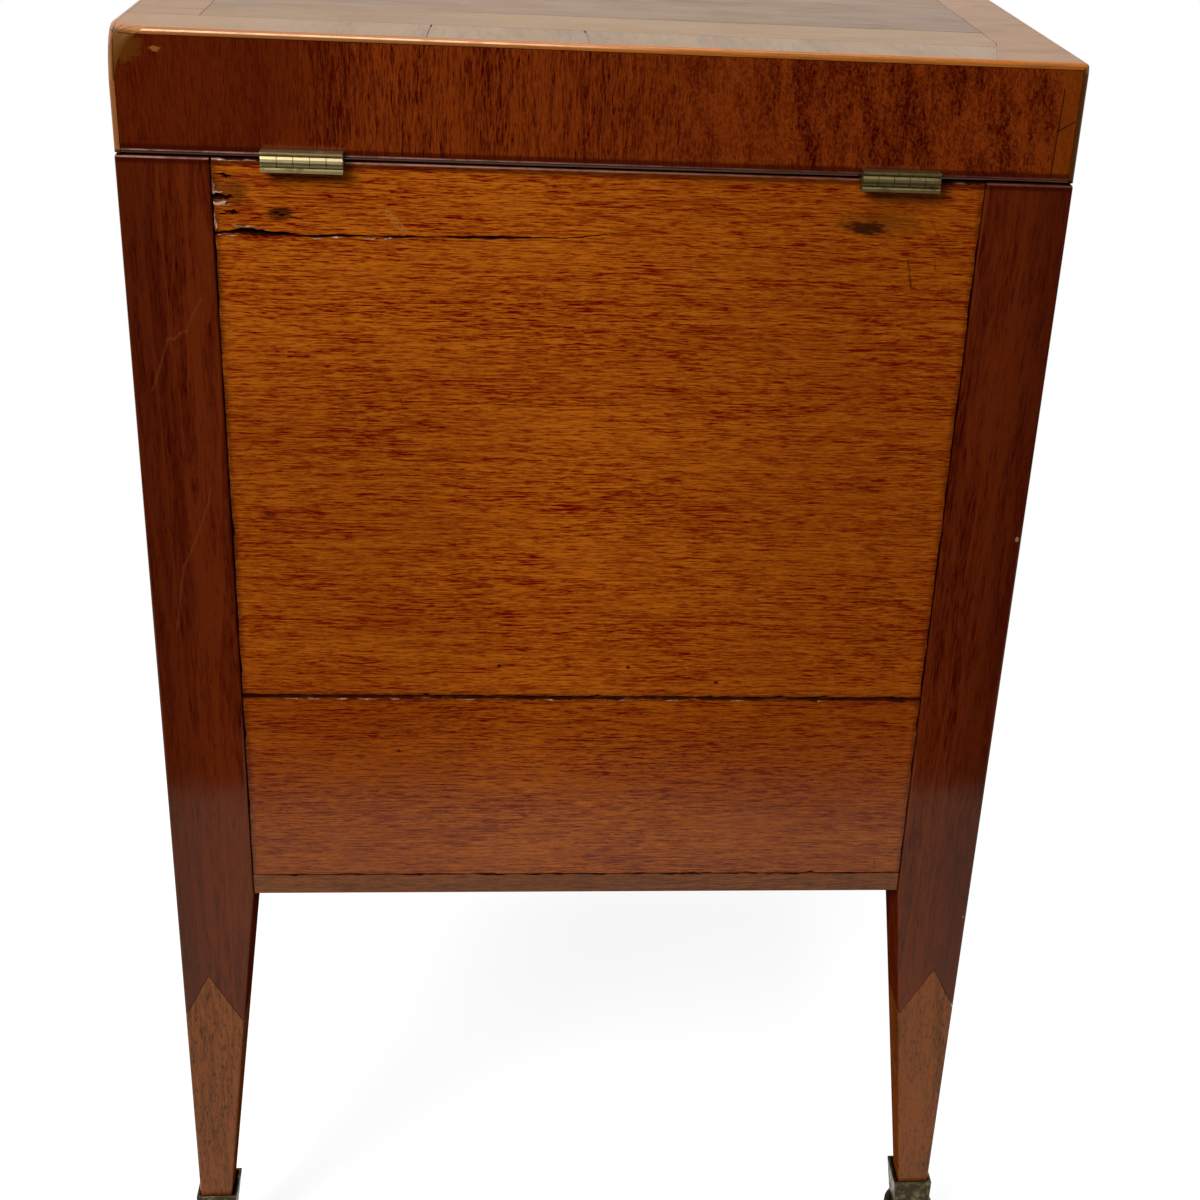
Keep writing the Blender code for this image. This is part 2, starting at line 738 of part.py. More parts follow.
def build_lock():
    half = LOCK_WIDTH / 2
    body = front_box(-half, half, LOCK_INSET, INSIDE_OFFSET, LOCK_BOTTOM, CASE_TOP)
    pocket = bolt_boxes(FIT, BOLT_TRAVEL)
    slot_half = LOOP_WIDTH / 2 + LOOP_PLAY
    loop_half = LOOP_DEPTH / 2 + LOOP_PLAY
    slot_bottom = LID_BOTTOM - LOOP_DROP - FIT
    loops = [side * LOOP_SPACING / 2 for side in (-1, 1)]
    slot_near, slot_far = LOCK_MIDDLE - loop_half, LOCK_MIDDLE + loop_half
    slots = [
        front_box(x - slot_half, x + slot_half, slot_near, slot_far, slot_bottom, CASE_TOP)
        for x in loops
    ]
    lock = add_object("lock_case", carve([body], [*pocket, *slots]), IRON, CASE_FRAME)
    combine(lock, keyhole_cutter(), "DIFFERENCE")
    add_object("lock_bolt", carve(bolt_boxes()), BRASS, BOLT_FRAME)
    escutcheon = escutcheon_object("escutcheon", 0.0)
    combine(escutcheon, keyhole_cutter(), "DIFFERENCE")

    plate = strike_plate()
    plate_top = plate[-1]
    solids = [plate]
    voids = []
    hole = BOLT_HEIGHT / 2 + FIT
    eye = BOLT_DEPTH / 2 + FIT
    for x in loops:
        low, high = x - LOOP_WIDTH / 2, x + LOOP_WIDTH / 2
        near, far = LOCK_MIDDLE - LOOP_DEPTH / 2, LOCK_MIDDLE + LOOP_DEPTH / 2
        solids.append(front_box(low, high, near, far, LID_BOTTOM - LOOP_DROP, plate_top))
        eye_near, eye_far = LOCK_MIDDLE - eye, LOCK_MIDDLE + eye
        voids.append(front_box(low, high, eye_near, eye_far, LOOP_HOLE - hole, LOOP_HOLE + hole))
    add_object("lock_strike", carve(solids, voids), BRASS, LID_FRAME)


# Lid


def lid_string_boxes(grow=0.0):
    """The stringing round the top arris with a leg down each corner, as boxes."""
    size = STRING_SIZE + grow
    out = MARGIN if grow else 0.0
    boxes = []
    for side in SIDES:
        reach = half_run(side) + out
        boxes.append(wall_box(side, -reach, reach, -out, size, LID_TOP - size, LID_TOP + out))
    for side in ("back", "front"):
        for sign in (-1, 1):
            ends = sorted((sign * (WIDTH / 2 + out), sign * (WIDTH / 2 - size)))
            boxes.append(wall_box(side, *ends, -out, size, LID_BOTTOM - out, LID_TOP))
    return boxes


def lid_rail(side, cutters):
    """One mitred side of the lid, cut for the top board, the stringing and the metalwork."""
    half = half_run(side)
    miss = FIT / math.sqrt(2)
    corners = [
        (-half + miss, 0),
        (half - miss, 0),
        (half - LID_RAIL_THICKNESS - miss, LID_RAIL_THICKNESS),
        (-half + LID_RAIL_THICKNESS + miss, LID_RAIL_THICKNESS),
    ]

    def place(run, inset, height):
        box = wall_box(side, run, run, inset, inset, height, height)
        return box[0], box[2], box[4]

    mesh_builder = prism(corners, LID_BOTTOM, LID_TOP - VENEER_THICKNESS, place)

    def is_lower(edge):
        return all(vert.co.z < LID_BOTTOM + FIT for vert in edge.verts)

    bmesh.ops.recalc_face_normals(mesh_builder, faces=mesh_builder.faces)
    soften(mesh_builder, EDGE_ROUND, 2, is_lower)
    rail = add_object(f"lid_rail_{side}", mesh_builder, LID_WOOD, LID_FRAME)
    for cutter in cutters:
        combine(rail, cutter, "DIFFERENCE", keep_tool=True)


def build_lid():
    board_top = LID_TOP - VENEER_THICKNESS
    board_bottom = board_top - LID_BOARD_THICKNESS
    x = WIDTH / 2 - LID_REBATE
    y = DEPTH / 2 - LID_REBATE
    board = (-x, x, -y, y, board_bottom, board_top)
    add_object("lid_top_board", carve([board]), LID_WOOD, LID_FRAME)

    cut = (-x - FIT, x + FIT, -y - FIT, y + FIT, board_bottom - FIT, board_top + MARGIN)
    cuts = {
        "string": lid_string_boxes(FIT),
        "board": [cut],
        "hinge": hinge_mortises(LID_BOTTOM - MARGIN, LID_BOTTOM + LEAF_THICKNESS),
        "strike": [strike_plate(FIT)],
    }
    cutters = [
        add_object(f"lid_{name}_cutter", carve(boxes), LID_WOOD, LID_FRAME)
        for name, boxes in cuts.items()
    ]
    for side in SIDES:
        lid_rail(side, cutters)
    for cutter in cutters:
        bpy.data.objects.remove(cutter, do_unlink=True)

    mesh_builder = carve(lid_string_boxes())
    soften(mesh_builder, ARRIS_ROUND, ARRIS_STEPS, on_lid_arris)
    add_object("lid_edge_string", mesh_builder, STRING_WOOD, LID_FRAME)


def on_lid_arris(edge):
    """True of the stringing's outer top edges and of the four upright corner edges."""
    at_top = all(vert.co.z > LID_TOP - FIT for vert in edge.verts)
    at_x = all(abs(vert.co.x) > WIDTH / 2 - FIT for vert in edge.verts)
    at_y = all(abs(vert.co.y) > DEPTH / 2 - FIT for vert in edge.verts)
    return at_top + at_x + at_y > 1


# Hinges


def hinge_place(upper):
    """Maps points round the hinge pin, mirrored for the lower leaf."""
    flip = 1 if upper else -1

    def place(out, up, along):
        return along, HINGE_AXIS.y + out, HINGE_AXIS.z + flip * up

    return place


def knuckle_runs(centre, upper):
    """The spans along the pin that belong to one leaf: the lid's lie between the case's."""
    pitch = HINGE_WIDTH / HINGE_KNUCKLES
    start = centre - HINGE_WIDTH / 2
    first = 1 if upper else 0
    return [
        (start + i * pitch + FIT / 2, start + (i + 1) * pitch - FIT / 2)
        for i in range(first, HINGE_KNUCKLES, 2)
    ]


def hinge_leaf(name, centre, upper, frame):
    place = hinge_place(upper)
    low, high = centre - HINGE_WIDTH / 2, centre + HINGE_WIDTH / 2
    leaf_low, leaf_high = FIT / 2, FIT / 2 + LEAF_THICKNESS
    skin = HINGE_LINK_INSET
    root = -HINGE_OUT - FIT
    leaf_end = root - LEAF_DEPTH
    leaf = [(root, leaf_low), (root, leaf_high), (leaf_end, leaf_high), (leaf_end, leaf_low)]
    obj = add_object(name, prism(leaf, low, high, place), BRASS, frame)

    stop_low = KNUCKLE_RADIUS + FIT
    stop_high = stop_low + STOP_THICKNESS
    slope = 1 / math.tan(math.radians(STOP_ANGLE))
    stop_back = -HINGE_OUT + FIT
    stop = [
        (stop_back, stop_low),
        (stop_low * slope, stop_low),
        (stop_high * slope, stop_high),
        (stop_back, stop_high),
    ]
    wall = (KNUCKLE_RADIUS + KNUCKLE_BORE) / 2
    web = KNUCKLE_BORE
    neck_low, neck_high = leaf_low + skin, leaf_high - skin
    neck_end = root - LEAF_THICKNESS
    for start, end in knuckle_runs(centre, upper):
        ring = [(KNUCKLE_RADIUS, start), (KNUCKLE_RADIUS, end), (KNUCKLE_BORE, end), (KNUCKLE_BORE, start)]
        knuckle = add_object("knuckle", turned(ring, SMALL_ROUND_SIDES, place, closed=True), BRASS, frame)
        neck = [(-wall, neck_low), (-wall, neck_high), (neck_end, neck_high), (neck_end, neck_low)]
        bridge = [(-web, wall), (web, wall), (web, stop_low + skin), (-web, stop_low + skin)]
        for outline in (neck, bridge):
            link = add_object("link", prism(outline, start + skin, end - skin, place), BRASS, frame)
            combine(knuckle, link, "UNION")
        combine(obj, knuckle, "UNION")
    bar = add_object("stop_bar", prism(stop, low, high, place), BRASS, frame)
    return combine(obj, bar, "UNION")


def build_hinges():
    for side, centre in hinge_centres().items():
        hinge_leaf(f"hinge_{side}_case_leaf", centre, False, CASE_FRAME)
        hinge_leaf(f"hinge_{side}_lid_leaf", centre, True, LID_FRAME)
        half = HINGE_WIDTH / 2
        profile = [
            (0, centre - half),
            (HINGE_PIN_RADIUS, centre - half),
            (HINGE_PIN_RADIUS, centre + half),
            (0, centre + half),
        ]
        pin = turned(profile, SMALL_ROUND_SIDES, hinge_place(True))
        add_object(f"hinge_{side}_pin", pin, BRASS, CASE_FRAME)


# Castors


def cup_end_inset():
    """How far in from the leg's outer faces the cup's cavity reaches at its floor."""
    return leg_size(LEG_END) + CUP_END_PLAY


def swivel_place(signs):
    """The castor's swivel axis, in the middle of the cup's base."""
    outer = -CUP_CLEARANCE - CUP_WALL
    inner = cup_end_inset() + CUP_WALL
    middle = (outer + inner) / 2
    return Vector(corner_place(signs)(middle, middle, CUP_BOTTOM))


def tapered_box(signs, low_inset, high_inset, outer_inset, low, high):
    place = corner_place(signs)
    mesh_builder = bmesh.new()
    rings = []
    for inset, height in ((low_inset, low), (high_inset, high)):
        corners = [(outer_inset, outer_inset), (inset, outer_inset), (inset, inset), (outer_inset, inset)]
        rings.append([mesh_builder.verts.new(place(a, b, height)) for a, b in corners])
    mesh_builder.faces.new(rings[0])
    mesh_builder.faces.new(rings[1][::-1])
    for i in range(4):
        j = (i + 1) % 4
        mesh_builder.faces.new((rings[0][i], rings[1][i], rings[1][j], rings[0][j]))
    bmesh.ops.recalc_face_normals(mesh_builder, faces=mesh_builder.faces)
    return mesh_builder


def build_cup(corner, signs):
    outer = -CUP_CLEARANCE - CUP_WALL
    rim_inner = outer + CUP_RIM_SIZE
    base_inner = cup_end_inset() + CUP_WALL
    mesh_builder = tapered_box(signs, base_inner, rim_inner, outer, CUP_BOTTOM, CUP_RIM)
    soften(mesh_builder, INNER_ROUND)
    cup = add_object(f"castor_cup_{corner}", mesh_builder, BRASS, CASE_FRAME)
    slope = (rim_inner - base_inner) / CUP_HEIGHT
    above = CUP_RIM + MARGIN
    cavity = tapered_box(
        signs,
        base_inner - CUP_WALL + slope * CUP_BASE,
        base_inner - CUP_WALL + slope * (above - CUP_BOTTOM),
        -CUP_CLEARANCE,
        CUP_FLOOR,
        above,
    )
    combine(cup, add_object("cup_cavity", cavity, BRASS, CASE_FRAME), "DIFFERENCE")
    swivel = swivel_place(signs)
    hole = circle(PINTLE_RADIUS + AXLE_CLEARANCE, SMALL_ROUND_SIDES, (swivel.x, swivel.y))
    mesh_builder = prism(hole, CUP_BOTTOM - MARGIN, CUP_FLOOR + FIT, along_z)
    combine(cup, add_object("cup_hole", mesh_builder, BRASS, CASE_FRAME), "DIFFERENCE")


def build_yoke(corner, signs):
    """A round plate with a riveted pintle above it and two horns below it that hold the axle."""
    swivel = swivel_place(signs)
    frame = make_frame(f"castor_{corner}_swivel", swivel)

    def upright(a, b, along):
        return swivel.x + a, swivel.y + b, along

    def horn_place(trail, height, along):
        return swivel.x + along, swivel.y - signs[1] * trail, height

    head_bottom = CUP_FLOOR + FIT
    profile = [
        (0, head_bottom + PINTLE_HEAD_THICKNESS),
        (PINTLE_HEAD_RADIUS, head_bottom + PINTLE_HEAD_THICKNESS),
        (PINTLE_HEAD_RADIUS, head_bottom),
        (PINTLE_RADIUS, head_bottom),
        (PINTLE_RADIUS, PLATE_TOP),
        (PLATE_RADIUS, PLATE_TOP),
        (PLATE_RADIUS, PLATE_BOTTOM),
        (0, PLATE_BOTTOM),
    ]
    yoke = add_object(f"castor_yoke_{corner}", turned(profile, ROUND_SIDES, upright), BRASS, frame)
    near = WHEEL_WIDTH / 2 + WHEEL_SIDE_CLEARANCE
    far = near + HORN_THICKNESS
    chord = math.sqrt(PLATE_RADIUS**2 - far**2) - FIT
    boss_centre = (CASTOR_TRAIL, WHEEL_RADIUS)
    boss_sides = SMALL_ROUND_SIDES // 2
    boss = circle(HORN_BOSS_RADIUS, boss_sides, boss_centre, HORN_ARC_START, HORN_ARC_SWEEP, closed=False)
    top = PLATE_BOTTOM + PLATE_THICKNESS / 2
    horn = [*boss, (chord, top), (-chord / 2, top)]
    for sign in (-1, 1):
        spans = sorted((sign * near, sign * far))
        mesh_builder = prism(horn, *spans, horn_place)
        combine(yoke, add_object("horn", mesh_builder, BRASS, frame), "UNION")
    axle_half = far + FIT
    axle = [(0, -axle_half), (AXLE_RADIUS, -axle_half), (AXLE_RADIUS, axle_half), (0, axle_half)]

    def axle_place(a, b, along):
        return horn_place(CASTOR_TRAIL + a, WHEEL_RADIUS + b, along)

    combine(yoke, add_object("axle", turned(axle, SMALL_ROUND_SIDES, axle_place), BRASS, frame), "UNION")

    axle_frame = make_frame(f"castor_{corner}_axle", axle_place(0, 0, 0))
    half = WHEEL_WIDTH / 2
    bore = AXLE_RADIUS + AXLE_CLEARANCE
    tread = [
        (bore, -half),
        (WHEEL_RADIUS - WHEEL_ROUND, -half),
        (WHEEL_RADIUS, -half + WHEEL_ROUND),
        (WHEEL_RADIUS, half - WHEEL_ROUND),
        (WHEEL_RADIUS - WHEEL_ROUND, half),
        (bore, half),
    ]
    wheel = turned(tread, ROUND_SIDES, axle_place, closed=True)
    add_object(f"castor_wheel_{corner}", wheel, BRASS, axle_frame)


def build_castors():
    for corner, signs in CORNERS.items():
        build_cup(corner, signs)
        build_yoke(corner, signs)


# Drawer


DRAWER_BOTTOM = BOTTOM_TOP + FIT
DRAWER_TOP = TIER_LINE - RAIL_HEIGHT - DRAWER_PLAY
DRAWER_HALF = WIDTH / 2 - POST_SIZE - DRAWER_PLAY


def dovetail_outlines(grow=0.0):
    """The tails' outlines as (inset from the front, height), cut into the back of the drawer front."""
    root = PANEL_RECESS + DRAWER_FRONT_THICKNESS
    tip = root - DOVETAIL_LENGTH
    pitch = DRAWER_SIDE_HEIGHT / DOVETAILS
    half = DOVETAIL_NARROW / 2 + grow
    wide = half + DOVETAIL_FLARE
    outlines = []
    for i in range(DOVETAILS):
        middle = DRAWER_BOTTOM + (i + 0.5) * pitch
        start = root + (MARGIN if grow else DOVETAIL_ROOT)
        outlines.append(
            [
                (tip - grow, middle - wide),
                (root + FIT, middle - half),
                (start, middle - half),
                (start, middle + half),
                (root + FIT, middle + half),
                (tip - grow, middle + wide),
            ]
        )
    return outlines


def dovetail_place(inset, height, along):
    return along, -DEPTH / 2 + inset, height


def build_drawer():
    front_back = PANEL_RECESS + DRAWER_FRONT_THICKNESS
    inner = DRAWER_HALF - DRAWER_SIDE_THICKNESS
    bottom_low = DRAWER_BOTTOM + DRAWER_BOTTOM_LIFT
    bottom_high = bottom_low + DRAWER_BOTTOM_THICKNESS
    end = DEPTH - INSIDE_OFFSET - DRAWER_BACK_ROOM
    reach = inner + DRAWER_GROOVE_DEPTH
    bottom_front = front_back - DRAWER_GROOVE_DEPTH
    groove = front_box(
        -reach - FIT, reach + FIT, bottom_front - FIT, end + MARGIN, bottom_low - FIT, bottom_high + FIT
    )

    groove_cutter = add_object("drawer_groove_cutter", carve([groove]), PLAIN_WOOD, DRAWER_FRAME)

    board = front_box(-DRAWER_HALF, DRAWER_HALF, PANEL_RECESS, front_back, DRAWER_BOTTOM, DRAWER_TOP)
    mesh_builder = carve([board])
    soften(mesh_builder, EDGE_ROUND)
    front = add_object("drawer_front", mesh_builder, LID_WOOD, DRAWER_FRAME)
    combine(front, groove_cutter, "DIFFERENCE", keep_tool=True)

    for side, sign in (("left", -1), ("right", 1)):
        low, high = sorted((sign * inner, sign * DRAWER_HALF))
        side_top = DRAWER_BOTTOM + DRAWER_SIDE_HEIGHT
        body = front_box(low, high, front_back + FIT, end, DRAWER_BOTTOM, side_top)
        board = add_object(f"drawer_{side}_side", carve([body]), PLAIN_WOOD, DRAWER_FRAME)
        for outline in dovetail_outlines():
            tail = prism(outline, low, high, dovetail_place)
            combine(board, add_object("tail", tail, PLAIN_WOOD, DRAWER_FRAME), "UNION")
        combine(board, groove_cutter, "DIFFERENCE", keep_tool=True)
        cut_low, cut_high = sorted((sign * (inner - FIT), sign * (DRAWER_HALF + MARGIN)))
        for outline in dovetail_outlines(FIT):
            socket = prism(outline, cut_low, cut_high, dovetail_place)
            combine(front, add_object("socket", socket, LID_WOOD, DRAWER_FRAME), "DIFFERENCE")

    bpy.data.objects.remove(groove_cutter, do_unlink=True)

    back_low = bottom_high + FIT
    between = inner - FIT
    back_high = back_low + DRAWER_BACK_HEIGHT
    back = front_box(-between, between, end - DRAWER_SIDE_THICKNESS, end, back_low, back_high)
    add_object("drawer_back", carve([back]), PLAIN_WOOD, DRAWER_FRAME)
    bottom = front_box(-reach, reach, bottom_front, end, bottom_low, bottom_high)
    add_object("drawer_bottom", carve([bottom]), PLAIN_WOOD, DRAWER_FRAME)
    build_knobs(front)


def build_knobs(front):
    face = -DEPTH / 2 + PANEL_RECESS
    height = (DRAWER_BOTTOM + DRAWER_TOP) / 2
    inside = face + DRAWER_FRONT_THICKNESS
    base = face - FIT
    tip = -DEPTH / 2 - KNOB_PROJECTION
    waist = base - KNOB_ROSE_THICKNESS
    profile = [(0, tip)]
    for i in range(1, KNOB_ARC_STEPS + 1):
        angle = math.pi * i / (KNOB_ARC_STEPS + 1)
        along = tip + KNOB_BALL_DEPTH * (1 - math.cos(angle)) / 2
        profile.append((KNOB_RADIUS * math.sin(angle), along))
    profile += [
        (KNOB_NECK_RADIUS, tip + KNOB_BALL_DEPTH),
        (KNOB_NECK_RADIUS, waist),
        (KNOB_ROSE_RADIUS, waist),
        (KNOB_ROSE_RADIUS, base),
        (KNOB_SHANK_RADIUS, base),
        (KNOB_SHANK_RADIUS, inside + FIT),
        (KNOB_NUT_RADIUS, inside + FIT),
        (KNOB_NUT_RADIUS, inside + FIT + KNOB_NUT_THICKNESS),
        (0, inside + FIT + KNOB_NUT_THICKNESS),
    ]
    for side, sign in (("left", -1), ("right", 1)):
        centre = sign * (WIDTH / 2 - KNOB_INSET)

        def place(a, b, along, centre=centre):
            return centre + a, along, height + b

        knob = turned(profile, SMALL_ROUND_SIDES, place)
        add_object(f"drawer_knob_{side}", knob, BRASS, DRAWER_FRAME)
        hole = circle(KNOB_SHANK_RADIUS + FIT, SMALL_ROUND_SIDES, (centre, height))
        cutter = prism(hole, face - MARGIN, inside + MARGIN, along_y)
        combine(front, add_object("knob_hole", cutter, BRASS, DRAWER_FRAME), "DIFFERENCE")


build_legs()
build_case()
build_dividers()
build_lock()
build_lid()
build_hinges()
build_castors()
build_drawer()
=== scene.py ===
"""Looks of a mahogany cellarette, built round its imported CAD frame.

Metres, +Z up, the hinged back faces +Y. The camera looks at the back, from above.
"""

import json
import math
import random

import bmesh
import bpy
from mathutils import Matrix, Vector

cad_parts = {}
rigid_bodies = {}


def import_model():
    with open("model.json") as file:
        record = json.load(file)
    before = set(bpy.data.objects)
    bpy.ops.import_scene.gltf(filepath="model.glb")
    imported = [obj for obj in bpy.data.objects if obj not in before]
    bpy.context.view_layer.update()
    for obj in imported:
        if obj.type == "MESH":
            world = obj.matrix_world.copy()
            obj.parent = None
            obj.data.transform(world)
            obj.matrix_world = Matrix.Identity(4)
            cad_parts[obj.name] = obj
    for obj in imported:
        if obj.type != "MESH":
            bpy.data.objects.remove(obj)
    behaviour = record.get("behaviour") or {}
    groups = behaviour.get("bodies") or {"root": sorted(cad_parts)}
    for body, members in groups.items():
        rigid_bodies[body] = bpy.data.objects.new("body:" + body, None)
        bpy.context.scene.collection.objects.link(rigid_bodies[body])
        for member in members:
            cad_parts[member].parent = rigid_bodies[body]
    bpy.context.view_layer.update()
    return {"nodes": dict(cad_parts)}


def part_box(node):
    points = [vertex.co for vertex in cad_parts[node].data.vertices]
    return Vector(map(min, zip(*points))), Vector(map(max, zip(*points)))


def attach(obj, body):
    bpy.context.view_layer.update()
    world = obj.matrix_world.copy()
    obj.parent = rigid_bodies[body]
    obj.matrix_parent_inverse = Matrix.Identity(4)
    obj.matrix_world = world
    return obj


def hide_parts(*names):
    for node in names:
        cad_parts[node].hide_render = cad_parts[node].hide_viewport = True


for leftover in list(bpy.data.objects):
    bpy.data.objects.remove(leftover, do_unlink=True)
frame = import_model()
NODES = frame["nodes"]

# Planes of the CAD model that the added pieces are set against
BACK_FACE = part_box("back_upper_board")[1].y
CASE_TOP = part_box("back_upper_board")[1].z
SEAM_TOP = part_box("back_upper_board")[0].z
SEAM_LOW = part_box("back_lower_board")[1].z
LOWER_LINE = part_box("back_lower_board")[0].z
LID_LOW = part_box("lid_rail_back")[0].z
VENEER_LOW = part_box("lid_top_board")[1].z
VENEER_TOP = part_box("lid_edge_string")[1].z
LID_HALF_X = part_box("lid_edge_string")[1].x
LID_HALF_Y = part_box("lid_edge_string")[1].y
HINGE_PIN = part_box("hinge_left_pin")
HINGE_AXIS = (HINGE_PIN[0].z + HINGE_PIN[1].z) / 2
STOP_BAR = HINGE_AXIS - 0.0035

# The stringing's width, the crack across the lid's field (y), the height of the lid's lower rim, which is
# painted with shade
STRING_SIZE = 0.003
FIELD_CRACK = 0.1431
RIM = 0.0013
MM = 0.001

# Woods as (light, dark) pairs
ORANGE = ((0.405, 0.105, 0.0056), (0.112, 0.0006, 0.0002))
# A darker copy of ORANGE for the lower back board: painted shade, as less light reaches it
SHADED_ORANGE = ((0.325, 0.075, 0.003), (0.092, 0.0006, 0.0002))
BROWN = ((0.17, 0.04, 0.006), (0.055, 0.009, 0.0015))
LID_RED = ((0.168, 0.0265, 0.0026), (0.036, 0.0008, 0.0002))
DARK_RED = ((0.098, 0.0142, 0.0025), (0.032, 0.001, 0.0002))
PALE_TIP = ((0.175, 0.045, 0.008), (0.045, 0.009, 0.0015))
POPLAR = ((0.44, 0.31, 0.16), (0.24, 0.14, 0.06))
FIELD_RED = ((0.128, 0.064, 0.022), (0.052, 0.02, 0.006))
BAND_RED = ((0.172, 0.082, 0.026), (0.09, 0.034, 0.01))
# Greyer than BAND_RED: a painted sheen on the crossbanding whose grain runs along y
BACK_BAND = ((0.158, 0.088, 0.034), (0.082, 0.044, 0.018))
STRING_TAN = ((0.29, 0.09, 0.014), (0.16, 0.045, 0.007))
# Inside cracks, open joints and chips: the dark of old split wood, darkened further as painted shade in the
# recesses
SPLIT_AND_SHADE = ((0.03, 0.005, 0.0015), (0.012, 0.0015, 0.0005))
WORN = ((0.23, 0.094, 0.03), (0.15, 0.058, 0.017))
BRUISE = ((0.42, 0.24, 0.16), (0.12, 0.035, 0.012))
AMBER = (1.0, 0.88, 0.58)

# Colours of dirt, wear and other marks, and of painted shade and highlights
DIRT = (0.02, 0.005, 0.001)
# Painted shade beside the edges where lid and case meet
GAP_SHADE = (0.03, 0.002, 0.0005)
# Painted shade along the lid's lower rim
RIM_SHADE = (0.012, 0.003, 0.0015)
# Painted highlight on the rounding of those edges
EDGE_HIGHLIGHT = (0.4, 0.21, 0.17)
# Nearly black on the hinges' stop bars, below the knuckles
LOW_BAR_DARK = (0.05, 0.035, 0.015)
SCRIBBLE = (0.045, 0.006, 0.001)
SCAR = (0.4, 0.15, 0.025)
DOT = (0.045, 0.003, 0.0005)
DEEP_RED = (0.09, 0.008, 0.0004)
POST_SHADE = (0.03, 0.003, 0.0008)
CURL = (0.17, 0.045, 0.012)
POST_CHIP = (0.3, 0.15, 0.09)
LID_PLAIN = (0.055, 0.0052, 0.0006)
LID_TAIL = (0.17, 0.035, 0.002)
LID_JOINT = (0.02, 0.003, 0.0005)
LID_WORN = (0.1, 0.034, 0.004)
LID_CHIP = (0.26, 0.1, 0.02)
PALE_FIELD = (0.2, 0.11, 0.036)
BROWN_STRING = (0.19, 0.068, 0.02)
# A painted highlight on the stringing's arris
STRING_HIGHLIGHT = (0.7, 0.41, 0.23)
SIDE_STRING = (0.17, 0.06, 0.018)
DARK_STRING = (0.075, 0.022, 0.003)
WORN_VENEER = (0.092, 0.03, 0.004)

# Scribbles on the back's boards: (x, z) of both ends, width, strength
SCRIBBLES = (
    ((-0.1505, 0.6625), (-0.1535, 0.6483), 0.0009, 0.75),
    ((-0.1505, 0.6625), (-0.1644, 0.6599), 0.0007, 0.6),
    ((-0.1640, 0.6620), (-0.1652, 0.6570), 0.0007, 0.5),
    ((-0.1535, 0.6483), (-0.1562, 0.6478), 0.0008, 0.7),
    ((-0.1600, 0.6830), (-0.1702, 0.6640), 0.0008, 0.4),
    ((-0.0905, 0.6030), (-0.0860, 0.6045), 0.0008, 0.6),
    ((0.0985, 0.5840), (0.0975, 0.5800), 0.0007, 0.6),
    ((-0.1693, 0.3053), (-0.1701, 0.2985), 0.0009, 0.7),
)
# Smudges and knots on them: (x, z) of the centre, radii, colour, strength
SMUDGES = (
    ((-0.1345, 0.6800), (0.026, 0.0075), (0.085, 0.035, 0.003), 0.5),
    ((-0.1290, 0.6776), (0.0115, 0.0040), (0.008, 0.006, 0.002), 0.95),
    ((0.1541, 0.6762), (0.0085, 0.0035), (0.02, 0.004, 0.001), 0.85),
    ((0.1775, 0.6855), (0.012, 0.009), (0.05, 0.012, 0.002), 0.6),
    ((0.1654, 0.5196), (0.0040, 0.0018), (0.05, 0.004, 0.001), 0.7),
)
DOTS = ((0.0481, 0.4324), (0.1025, 0.3787), (-0.0213, 0.4318), (-0.0698, 0.4228))
# Faint curls in the left back post's polish, as (x, z) points
POST_CURLS = (
    (
        (0.2192, 0.5862), (0.2148, 0.5980), (0.2101, 0.6128), (0.2072, 0.6126),
        (0.2040, 0.6158), (0.2009, 0.6169), (0.1981, 0.6239), (0.1928, 0.6335),
    ),
    (
        (0.2161, 0.4528), (0.2135, 0.4719), (0.2105, 0.4892), (0.2039, 0.5036),
        (0.1956, 0.5261), (0.1945, 0.5344),
    ),
)
# Chips on the right back post: (x, z) of the centre, radii
POST_CHIPS = (((-0.2258, 0.5116), (0.0013, 0.0019)), ((-0.2265, 0.2651), (0.0008, 0.001)))
# Joints in the lid's back near its right end, as (x, z) of both ends
LID_JOINTS = (((-0.2173, 0.7476), (-0.2161, 0.7054)), ((-0.2163, 0.7276), (-0.2244, 0.7327)))


# Materials


class Nodes:
    """Adds shader nodes to a tree; all methods but node return output sockets."""

    def __init__(self, tree):
        self.tree = tree

    def feed(self, socket, value):
        if isinstance(value, bpy.types.NodeSocket):
            self.tree.links.new(value, socket)
        elif socket.type == "RGBA":
            socket.default_value = (*value, 1.0)
        else:
            socket.default_value = value

    def node(self, kind, values=None, **settings):
        made = self.tree.nodes.new("ShaderNode" + kind)
        for key, value in settings.items():
            setattr(made, key, value)
        for key, value in (values or {}).items():
            self.feed(made.inputs[key], value)
        return made

    def math(self, operation, first, *others, clamp=False):
        """An operation on one value, or on several in turn."""
        result = first
        for other in others or (0.0,):
            made = self.node("Math", {0: result, 1: other}, operation=operation, use_clamp=clamp)
            result = made.outputs[0]
        return result

    def vector(self, operation, first, second=(0.0, 0.0, 0.0)):
        made = self.node("VectorMath", {0: first, 1: second}, operation=operation)
        return made.outputs["Value" if operation in ("LENGTH", "DOT_PRODUCT") else "Vector"]

    def step(self, value, low, high, start=0.0, end=1.0):
        """A smooth step of value from low to high, also downwards."""
        made = self.node(
            "MapRange",
            {"Value": value, "From Min": low, "From Max": high, "To Min": start, "To Max": end},
            interpolation_type="SMOOTHSTEP",
        )
        return made.outputs[0]

    def change(self, value, start, end):
        """A straight change from start to end while value goes from 0 to 1."""
        return self.node("MapRange", {"Value": value, "To Min": start, "To Max": end}).outputs[0]

    def mix(self, factor, first, second):
        return self.node("Mix", {0: factor, 6: first, 7: second}, data_type="RGBA").outputs[2]

    def parts(self, place):
        return self.node("SeparateXYZ", {0: place}).outputs

    def join(self, x, y, z):
        return self.node("CombineXYZ", {0: x, 1: y, 2: z}).outputs[0]


